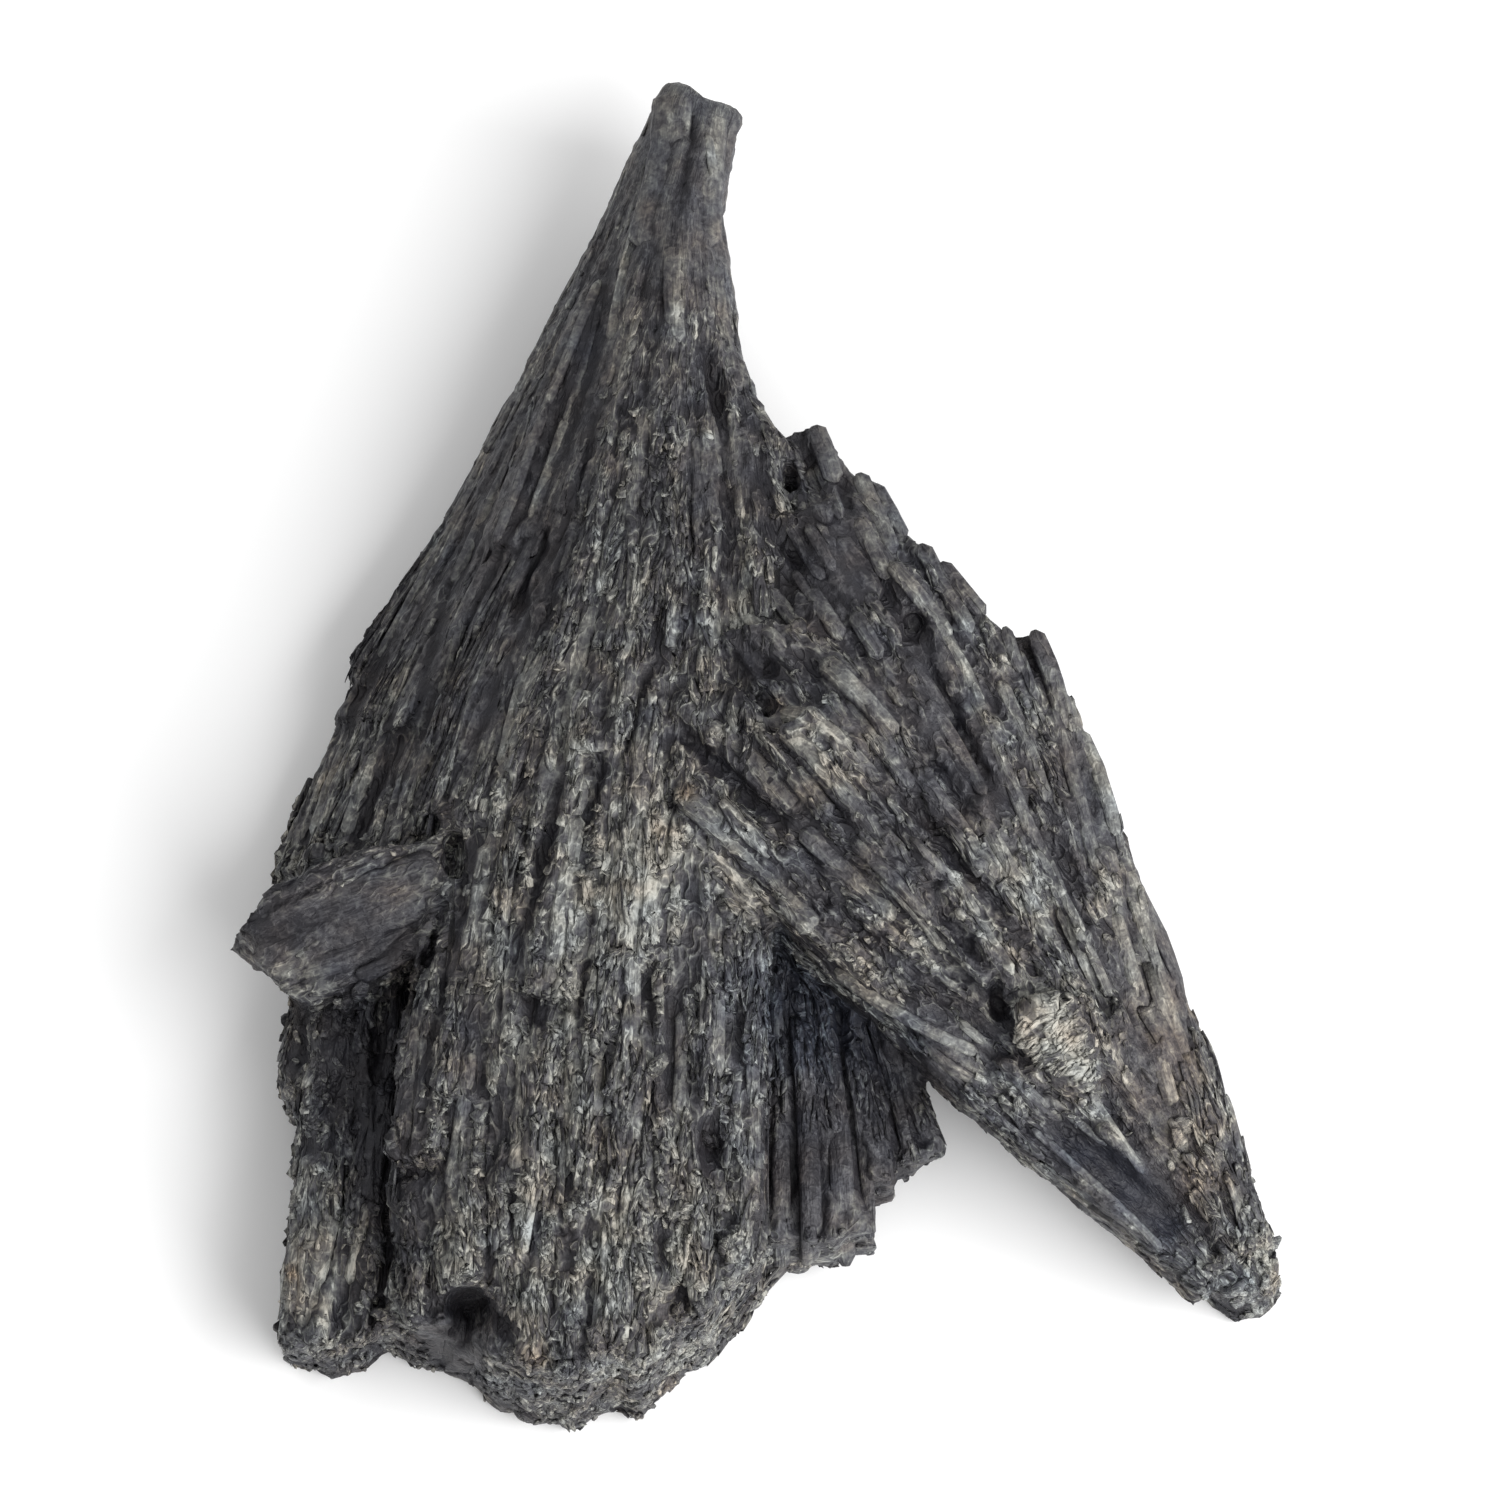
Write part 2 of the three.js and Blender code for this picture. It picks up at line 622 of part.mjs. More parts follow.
const crossMasses = [
  mass({
    columns: 10,
    rows: [0, 0.2, 0.42, 0.64, 0.84, 1],
    top: (share, row) => {
      const angle = lerp(41, 68.4, share);
      return crossTop(angle, lerp(11.5, along(CROSS_REACH, angle), row), -0.3);
    },
    base: (share, row) => {
      const thinner = 3 * share * share * row + 4.5 * (1 - share) * (1 - share) * (1 - row);
      return crossBase(lerp(11.5, 50, row)) + thinner;
    },
    ragged: 0.5,
  }),
  // the side below the left edge: a rim, a hollow face and the ridge above it
  ...sheaf({
    blades: 1,
    ragged: 0.3,
    relief: 0.5,
    stations: [
      [[27.2, -31, 2.4], [28.1, -30.2, 4.4], -0.5],
      [[20.2, -25.5, 3.2], [20.9, -24.6, 4.8], 1],
      [[13.4, -20, 5], [14, -19, 6.8], 2.8],
      [[8.4, -16.6, 6.6], [9, -15.6, 8], 4.2],
    ],
  }),
  ...sheaf({
    blades: 1,
    ragged: 0.2,
    relief: 0.3,
    stations: [
      [[27, -30.4, 3.8], [28.4, -28.8, 7], 0.6],
      [[20.2, -24.4, 5], [22, -22.4, 9.4], 1.8],
      [[13, -19.2, 7.4], [15, -16.4, 12.2], 3.6],
      [[5, -13.8, 9.6], [7, -11, 14.6], 6.6],
    ],
  }),
  ...sheaf({
    blades: 1,
    ragged: 0.4,
    relief: 0.8,
    stations: [
      [[27.2, -29, 7], [28.4, -28, 8.2], 2],
      [[20, -22.8, 10.4], [21.6, -20.8, 11.8], 3],
      [[12.6, -17.7, 12.8], [14.2, -15.2, 14.4], 5],
      [[2.4, -11, 14.2], [4.4, -8.8, 16], 9],
    ],
  }),
  // the blunt tip
  ...sheaf({
    blades: 3,
    ragged: 0.2,
    relief: 0.7,
    stations: [
      [[23.6, -26.6, 8.6], [28, -22.6, 7.4], 1.5],
      [[26.2, -29.2, 7.6], [29.6, -26.8, 6.6], -0.4],
      [[28.2, -31.7, 5.6], [30.7, -30.4, 5.2], -0.4],
    ],
  }),
];

const crossSheaves = [
  // the blades that reach furthest left, over the main fan
  crossSheaf(2, [-4.8, -3.1], [-3.2, -1.1], { length: 22, lift: 1.2, thick: 3.4, ragged: 0.2 }),
  crossSheaf(3, [-4.1, 1.7], [-1.5, 4.6], { length: 18, lift: 0.9, thick: 3.4, ragged: 0.3 }),
  // the tan wedge beside them
  crossSheaf(1, [1.6, -3], [2.2, -0.6], { length: 4, lift: 0, thick: 2, ragged: 0.1 }),
  // the wide pale blades in the middle
  crossSheaf(3, [0.7, 1.3], [3.3, 3], { length: 20, lift: 1, thick: 3.6, ragged: 0.1 }),
  crossSheaf(1, [3.7, 2.6], [5.2, 3.8], { length: 15, lift: 0.4, thick: 3, ragged: 0.1 }),
  // the blades stacked above it
  crossSheaf(2, [-1.9, 7.3], [0.9, 8.5], { length: 16, lift: 0.9, thick: 3.4, ragged: 0.3 }),
  crossSheaf(1, [3.8, 5], [4.6, 6.1], { length: 13, lift: 0.8, thick: 2.6, ragged: 0.1 }),
  crossSheaf(2, [1.6, 7.6], [3.6, 10], { length: 14, lift: 0.5, thick: 3.6, ragged: 0.5 }),
  crossSheaf(2, [5, 7.6], [7.9, 8.8], { length: 14, lift: 0.7, thick: 3.4, ragged: 0.2 }),
  crossSheaf(1, [3, 11.8], [5.8, 14.4], { length: 12, lift: 0.9, thick: 4, ragged: 0.1 }),
  crossSheaf(1, [1.9, 14.4], [4.4, 15.6], { length: 9, lift: 0.4, thick: 4.6, ragged: 0.1 }),
  // the fingers of the upper right edge
  crossSheaf(1, [2.7, 19.3], [3.9, 19.6], { length: 18, lift: 0, thick: 4.4, ragged: 0.1 }),
  crossSheaf(1, [2, 17], [4.8, 17], { length: 12, lift: -3, thick: 3, ragged: 0.1 }),
  crossSheaf(2, [5.3, 16], [6.9, 16.4], { length: 20, lift: -0.2, thick: 4.2, ragged: 0.1 }),
  crossSheaf(1, [7.4, 11], [8.8, 11.6], { length: 12, lift: 0.5, thick: 3, ragged: 0.1 }),
  crossSheaf(3, [9, 12], [12.6, 9.8], { length: 24, lift: 0, thick: 4.6, ragged: 0.1 }),
  crossSheaf(1, [12.8, 8.4], [14, 7.8], { length: 20, lift: 0, thick: 4.2, ragged: 0.1 }),
  crossSheaf(1, [14.1, 7.2], [15.1, 7.2], { length: 18, lift: 0, thick: 4, ragged: 0.05 }),
  crossSheaf(1, [15.5, 7.2], [16.9, 6.9], { length: 22, lift: 0.1, thick: 4.6, ragged: 0.05 }),
  crossSheaf(1, [18, 2.6], [19, 1.6], { length: 22, lift: 0, thick: 4.4, ragged: 0.1 }),
  crossSheaf(1, [18.9, 0.9], [19.8, -0.3], { length: 24, lift: -0.1, thick: 4.6, ragged: 0.1 }),
  // the pale stub that stands on the fan's top
  crossSheaf(2, [14.7, -14.6], [18.9, -13.2], { length: 6.2, lift: 1.2, thick: 4, ragged: 0.2 }),
];

// Shorter blades between them.
const crossChips = [];
const CROSS_CHIP_ROWS = [
  [20, 2],
  [27, 4],
  [34, 5],
  [41, 5],
  [47, 3],
];
for (const [distance, count] of CROSS_CHIP_ROWS) {
  for (let i = 0; i < count; i++) {
    const angle = lerp(43, 68, (i + 0.5 + spread(0.35)) / count);
    const [across, up] = crossTop(angle, distance + spread(2.6));
    crossChips.push(
      crossChip({
        across,
        up,
        length: between(5, 9),
        width: between(1, 1.7),
        proud: between(0.2, 0.6),
        ridged: i % 3 === 0,
      }),
    );
  }
}

// ---- Holes and clefts -------------------------------------------------------------------------

const clefts = [
  // where the side splinter enters the body
  gouge([
    [[-18.2, -4.2, 14], [-16.8, -4.2, 14], 9],
    [[-17.9, -7.2, 14], [-16.9, -7, 14], 9],
  ]),
  // the valley between the side splinter and the lower body
  gouge([
    [[-18.4, -8.6, 13], [-17.4, -8.6, 13], 10.4],
    [[-22.8, -20, 12], [-21.5, -20, 12], 7],
    [[-20.8, -31, 12], [-20, -31, 12], 6],
  ]),
  // between the shoulder and the first finger of the second fan
  gouge([
    [[1.3, 17.4, 13], [1.9, 17.4, 13], 9],
    [[1.5, 15, 13], [2.6, 15, 13], 9],
  ]),
  // between the first two fingers
  gouge([
    [[4.4, 16.8, 14], [5, 16.8, 14], 12.4],
    [[5, 14, 14], [5.9, 14, 14], 12.4],
  ]),
  // a socket between the upper blades of the second fan, and the groove that runs on from it
  gouge([
    [[8.4, 9.2, 17], [9.1, 9.2, 17], 13.6],
    [[9.2, 6.8, 17], [10.2, 6.8, 17], 13.6],
  ]),
  gouge([
    [[10, 6.2, 17], [10.4, 6.2, 17], 15.2],
    [[11.7, 1.5, 16.6], [12.4, 1.5, 16.6], 14.8],
    [[14, -3.6, 16], [14.3, -3.4, 16], 15],
  ]),
  // beside the last finger
  gouge([
    [[15.5, 6.4, 14], [15.8, 6.4, 14], 10],
    [[16, 4.2, 14], [16.6, 4.2, 14], 11],
  ]),
  // the hollow facet below the pale crumbs
  gouge([
    [[-1, 6.2, 17], [0.6, 6.6, 17], 16.4],
    [[0.6, 4.2, 17], [2.1, 4.4, 17], 16.2],
  ]),
  // the long dark cleft between the blades that reach furthest left
  gouge([
    [[-5, 0.9, 17], [-3.8, 1.5, 17], 15.8],
    [[-1.9, -2, 17], [-0.9, -1.2, 17], 15.6],
    [[1.7, -4.4, 17], [2.1, -4, 17], 16.4],
  ]),
  // grooves on either side of the wide pale blades
  gouge([
    [[0.3, 1.3, 17], [0.8, 1.7, 17], 16.4],
    [[4.3, -2.7, 17], [4.8, -2.3, 17], 16.2],
    [[8.2, -6.6, 17], [8.4, -6.4, 17], 16.2],
  ]),
  gouge([
    [[7.6, -1, 17], [8.1, -0.8, 17], 15.8],
    [[10.6, -5.4, 16], [11.4, -5.1, 16], 14.8],
    [[14, -9.7, 15.4], [14.3, -9.6, 15.4], 14.4],
  ]),
  gouge([
    [[5.2, 6.8, 17], [6.1, 6.8, 17], 16],
    [[7.8, 3.1, 17], [8.4, 3.2, 17], 16],
  ]),
  // a wedge-shaped gap between the middle blades
  gouge([
    [[10, -7.8, 16], [10.5, -7.6, 16], 14.4],
    [[12.3, -11.6, 16], [12.9, -11.2, 16], 13.6],
  ]),
  // beside the pale stub
  gouge([
    [[13.5, -13.2, 14], [14.3, -13, 14], 11],
    [[13.9, -15.2, 14], [14.6, -15, 14], 11.4],
  ]),
  // a window in the lower body's right side
  gouge([
    [[-3, -21, 15], [-1.9, -21, 15], 13.4],
    [[-3.2, -23.6, 15], [-2.2, -23.6, 15], 13.2],
  ]),
  // the long groove left of it
  gouge([
    [[-4.7, -13.6, 16], [-4.2, -13.6, 16], 15.2],
    [[-5.2, -19.8, 16], [-4.6, -19.8, 16], 14.8],
  ]),
  // below the step in the middle
  gouge([
    [[-13.7, -14.3, 16], [-11.8, -14.6, 16], 14.6],
    [[-13.8, -18, 16], [-12.8, -18.2, 16], 14.8],
  ]),
  // the gash at the foot of the handle
  gouge([
    [[-3.4, 24.6, 14], [-3, 24.6, 14], 12.4],
    [[-2.8, 22, 14], [-2, 22, 14], 12],
    [[-2.3, 18.6, 14], [-1.8, 18.6, 14], 13],
  ]),
  // the seam down the handle
  gouge([
    [[-3.9, 39.8, 11], [-3.5, 39.8, 11], 9.6],
    [[-4.2, 35, 12], [-3.7, 35, 12], 11],
    [[-4.4, 31.6, 12], [-4.1, 31.6, 12], 11.8],
  ]),
  // the dark valley of the flank
  gouge([
    [[-9.2, 27.6, 12], [-8.8, 27.6, 12], 11],
    [[-11, 21, 12], [-9.9, 21, 12], 10.4],
    [[-13.4, 13, 13], [-12.6, 13, 13], 12.4],
  ]),
  // the hollow at the lower left end
  gouge([
    [[-17.4, -31, 12], [-15.6, -30.8, 12], 6.4],
    [[-19.2, -36.4, 8], [-16.2, -37.4, 8], 4.6],
  ]),
];

// ---- Assembly ---------------------------------------------------------------------------------

const grown = [
  ...mainMasses,
  ...mainSteps,
  ...mainChips,
  ...lowerSheaves.flat(),
  ...sideSplinter.flat(),
  ...crossMasses,
  ...crossSheaves.flat(),
  ...crossChips,
];
const tableTop = solidOf(new THREE.BoxGeometry(200, 200, 20).translate(0, 0, -10));
const specimen = wasm.Manifold.union(grown)
  .subtract(wasm.Manifold.union(clefts))
  .subtract(tableTop)
  .simplify(0.1)
  .decompose()
  .sort((a, b) => b.volume() - a.volume())[0];

const mesh = specimen.getMesh();
const geometry = new THREE.BufferGeometry();
geometry.setAttribute(
  "position",
  new THREE.BufferAttribute(new Float32Array(mesh.vertProperties), 3),
);
geometry.setIndex(new THREE.BufferAttribute(mesh.triVerts, 1));
geometry.computeBoundingBox();
const middle = geometry.boundingBox.getCenter(new THREE.Vector3());
geometry.translate(-middle.x, -middle.y, 0);
geometry.computeVertexNormals();

const crystalFan = new THREE.Mesh(
  geometry,
  new THREE.MeshStandardMaterial({
    color: 0x2b2b2c,
    roughness: 0.55,
    metalness: 0,
  }),
);
crystalFan.name = "crystal_fan";

const taramiteFan = new THREE.Group();
taramiteFan.add(crystalFan);
export default taramiteFan;
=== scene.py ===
"""Taramite fan: a hand specimen of black bladed crystals lying on a pale table, in metres."""

import math

import bmesh
import bpy
import numpy as np
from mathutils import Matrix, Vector, noise
from mathutils.bvhtree import BVHTree
from mathutils.kdtree import KDTree


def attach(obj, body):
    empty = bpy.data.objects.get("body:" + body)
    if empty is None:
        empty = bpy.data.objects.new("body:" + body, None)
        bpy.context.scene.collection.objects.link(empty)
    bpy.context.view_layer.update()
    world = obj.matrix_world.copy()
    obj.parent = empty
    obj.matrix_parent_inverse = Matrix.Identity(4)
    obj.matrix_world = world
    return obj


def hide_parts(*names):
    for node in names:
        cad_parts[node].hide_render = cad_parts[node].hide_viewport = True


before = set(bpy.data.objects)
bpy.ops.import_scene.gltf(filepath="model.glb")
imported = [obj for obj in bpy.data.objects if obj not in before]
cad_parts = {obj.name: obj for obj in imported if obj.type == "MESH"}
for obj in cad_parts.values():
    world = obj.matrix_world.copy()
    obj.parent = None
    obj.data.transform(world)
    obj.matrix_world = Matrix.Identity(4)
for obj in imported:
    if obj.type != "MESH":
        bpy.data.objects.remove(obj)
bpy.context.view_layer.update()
MM = 0.001

# ---- Table, light and camera --------------------------------------------------------------------
# The specimen lies on a white table top. One large soft light stands to its right, and a bright
# white room fills the shadows.

scene = bpy.context.scene
scene.view_settings.view_transform = "Standard"


white_table = bpy.data.materials.new("white_table")
white_table.use_nodes = True
shader = white_table.node_tree.nodes["Principled BSDF"]
shader.inputs["Base Color"].default_value = (0.96, 0.96, 0.96, 1)
shader.inputs["Roughness"].default_value = 0.7
table_form = bmesh.new()
bmesh.ops.create_grid(table_form, x_segments=1, y_segments=1, size=1.5)
table_mesh = bpy.data.meshes.new("table_top")
table_form.to_mesh(table_mesh)
table_form.free()
table_top = bpy.data.objects.new("table_top", table_mesh)
table_mesh.materials.append(white_table)
scene.collection.objects.link(table_top)

SIGHT_ELEVATION = math.radians(72)
SIGHT_DISTANCE = 0.8
SIGHT_WIDTH = 88.94 * MM  # how much of the table is in sight
SENSOR = 36
AIM = Vector((0.112, -1.393, 8)) * MM

sight = Vector((0, -math.cos(SIGHT_ELEVATION), math.sin(SIGHT_ELEVATION)))
camera_data = bpy.data.cameras.new("camera")
camera_data.sensor_width = SENSOR
camera_data.lens = SENSOR * SIGHT_DISTANCE / SIGHT_WIDTH
camera = bpy.data.objects.new("camera", camera_data)
camera.location = AIM + sight * SIGHT_DISTANCE
camera.rotation_euler = (-sight).to_track_quat("-Z", "Y").to_euler()
scene.collection.objects.link(camera)
scene.camera = camera

room = bpy.data.worlds.new("white_room")
room.use_nodes = True
room.node_tree.nodes["Background"].inputs["Color"].default_value = (1, 1, 1, 1)
room.node_tree.nodes["Background"].inputs["Strength"].default_value = 0.67
scene.world = room

window_data = bpy.data.lights.new("window", "AREA")
window_data.energy = 9.2
window_data.size = 0.75
window = bpy.data.objects.new("window", window_data)
window.location = (0.5, -0.335, 0.46)
window.rotation_euler = (-window.location).to_track_quat("-Z", "Y").to_euler()
scene.collection.objects.link(window)

# ---- Body of the fan ----------------------------------------------------------------------------
# Both fans are one mass of black crystal blades that grew into each other. This is that mass, with
# the ribs and furrows that run along its blades.

SKIN_GRID = 0.345 * MM

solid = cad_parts["crystal_fan"]
skin_form = bmesh.new()
skin_form.from_mesh(solid.data)
bmesh.ops.remove_doubles(skin_form, verts=skin_form.verts, dist=1e-7)
rough_mesh = bpy.data.meshes.new("rough_body")
skin_form.to_mesh(rough_mesh)
skin_form.free()
rough_body = bpy.data.objects.new("rough_body", rough_mesh)
scene.collection.objects.link(rough_body)
grid = rough_body.modifiers.new("grid", "REMESH")
grid.mode = "VOXEL"
grid.voxel_size = SKIN_GRID
gridded = rough_body.evaluated_get(bpy.context.evaluated_depsgraph_get())
skin_mesh = bpy.data.meshes.new_from_object(gridded)
bpy.data.objects.remove(rough_body)

# How the blades run. A place is read as someone looking along the camera's line sees it: across,
# up, and height above the table, in millimetres.
AIM_MM = np.array(AIM) / MM
SIN_SIGHT = math.sin(SIGHT_ELEVATION)
COS_SIGHT = math.cos(SIGHT_ELEVATION)

# The main fan's left and right edges, from its splayed end up to the handle.
MAIN_UP = [-36, -22, -12, -4, 3, 12, 21, 28, 33, 39.4]
MAIN_LEFT = [-31.2, -30.8, -29.4, -27.4, -24.7, -19.5, -14.9, -11.4, -8.8, -6]
MAIN_RIGHT = [0.3, 0.4, 0.6, 0.8, 0.9, 0.6, -0.5, -1.3, -2.1, -1]
SMOOTH_HANDLE = (22, 34)  # from the first to the second, the ribs fade out
# The second fan spreads from an apex past its blunt tip, as the low sheaf does from its own.
CROSS_APEX = (34.5, -38.5)
CROSS_ANGLES = [41, 47, 53, 60, 62, 64, 66, 69.4]
CROSS_REACH = [47, 50, 54.5, 62, 62.5, 56.5, 51, 42]
CROSS_RISE = 0.22
CROSS_TIP = 9.5  # how far from the apex the blunt tip is
CROSS_TIP_HEIGHT = 7
CROSS_CREST = 11.6  # how much higher the crest is, this far past the tip
CROSS_CREST_AT = 42
CROSS_MIDDLE = 53  # the angle at which the fan is highest
LOW_APEX = (-1.5, 13)
SPLINTER_ROOT = (-17.4, -6.4)
SPLINTER_END = (-28.6, -12)
SPLINTER_HALF_WIDTH = 3.9
MAIN, CROSS, LOW, SPLINTER = range(4)


def as_seen(points):
    """Places in metres, read as across, up and height."""
    x, y, z = (np.asarray(points) / MM - AIM_MM).T
    return x, y * SIN_SIGHT + z * COS_SIGHT, z + AIM_MM[2]


def second_fan_top(angle, distance):
    """How high the second fan's top stands, which falls off to both sides and past its crest."""
    past = distance - CROSS_TIP
    rise = CROSS_CREST * np.sin(np.clip(past / CROSS_CREST_AT, 0, 1) * math.pi / 2)
    fall = 0.0145 * (angle - CROSS_MIDDLE) ** 2 * np.clip(past / 28, 0.15, 1)
    return CROSS_TIP_HEIGHT + rise - fall - 0.24 * np.maximum(0, past - CROSS_CREST_AT)


def polar(apex, across, up, side):
    """Angle in degrees and distance of a place seen from an apex; side -1 counts from the left."""
    over, above = side * (across - apex[0]), up - apex[1]
    return np.degrees(np.arctan2(above, over)), np.hypot(over, above)


def blade_lines(points):
    """The fan that each point lies on, the way its blade runs there, and how far the point lies
    across and along the blades."""
    across, up, height = as_seen(points)
    left, right = np.interp(up, MAIN_UP, MAIN_LEFT), np.interp(up, MAIN_UP, MAIN_RIGHT)
    next_left = np.interp(up - 1, MAIN_UP, MAIN_LEFT)
    next_right = np.interp(up - 1, MAIN_UP, MAIN_RIGHT)
    share = (across - left) / (right - left)
    lean = next_left + share * (next_right - next_left) - across
    level = np.zeros_like(lean)
    fan = np.full(len(across), MAIN)
    run = np.stack([lean, level - 1 / SIN_SIGHT, level], axis=1)
    beside, beyond = share * 24, -up

    angle, distance = polar(LOW_APEX, across, up, 1)
    low = (across > right + 0.4) & (up < -6)
    fan[low] = LOW
    turn = np.radians(angle)
    run[low] = np.stack([np.cos(turn), np.sin(turn) / SIN_SIGHT, level], axis=1)[low]
    beside[low], beyond[low] = (angle * 0.35)[low], distance[low]

    angle, distance = polar(CROSS_APEX, across, up, -1)
    inside = (angle > 39.5) & (angle < 71) & (distance < np.interp(angle, CROSS_ANGLES, CROSS_REACH) + 1.5)
    underside = np.clip((distance - 13.5) * 0.27, 0, 9.5) - 0.8
    lowest = np.where(across > right + 1.5, underside, second_fan_top(angle, distance) - 1.3)
    cross = inside & (height > lowest)
    fan[cross] = CROSS
    turn = np.radians(angle)
    away = np.stack([-np.cos(turn), np.sin(turn) / SIN_SIGHT, level + CROSS_RISE], axis=1)
    run[cross] = away[cross]
    beside[cross], beyond[cross] = (angle * 0.55)[cross], distance[cross]

    line = np.subtract(SPLINTER_END, SPLINTER_ROOT)
    line = line / np.hypot(*line)
    over, above = across - SPLINTER_ROOT[0], up - SPLINTER_ROOT[1]
    off = over * line[1] - above * line[0]
    lowest = np.interp(across, [-31, -26, -22, -18], [6.6, 7.2, 10.6, 12.4])
    chip = (across < -17.6) & (np.abs(off) < SPLINTER_HALF_WIDTH) & (height > lowest)
    fan[chip] = SPLINTER
    run[chip] = (line[0], line[1] / SIN_SIGHT, -0.1)
    beside[chip], beyond[chip] = off[chip], (over * line[0] + above * line[1])[chip]

    run /= np.linalg.norm(run, axis=1)[:, None]
    return fan, run, beside, beyond


def vectors(items, name):
    """One vector of every vertex or face of a mesh, as an array."""
    values = np.empty(len(items) * 3)
    items.foreach_get(name, values)
    return values.reshape(-1, 3)


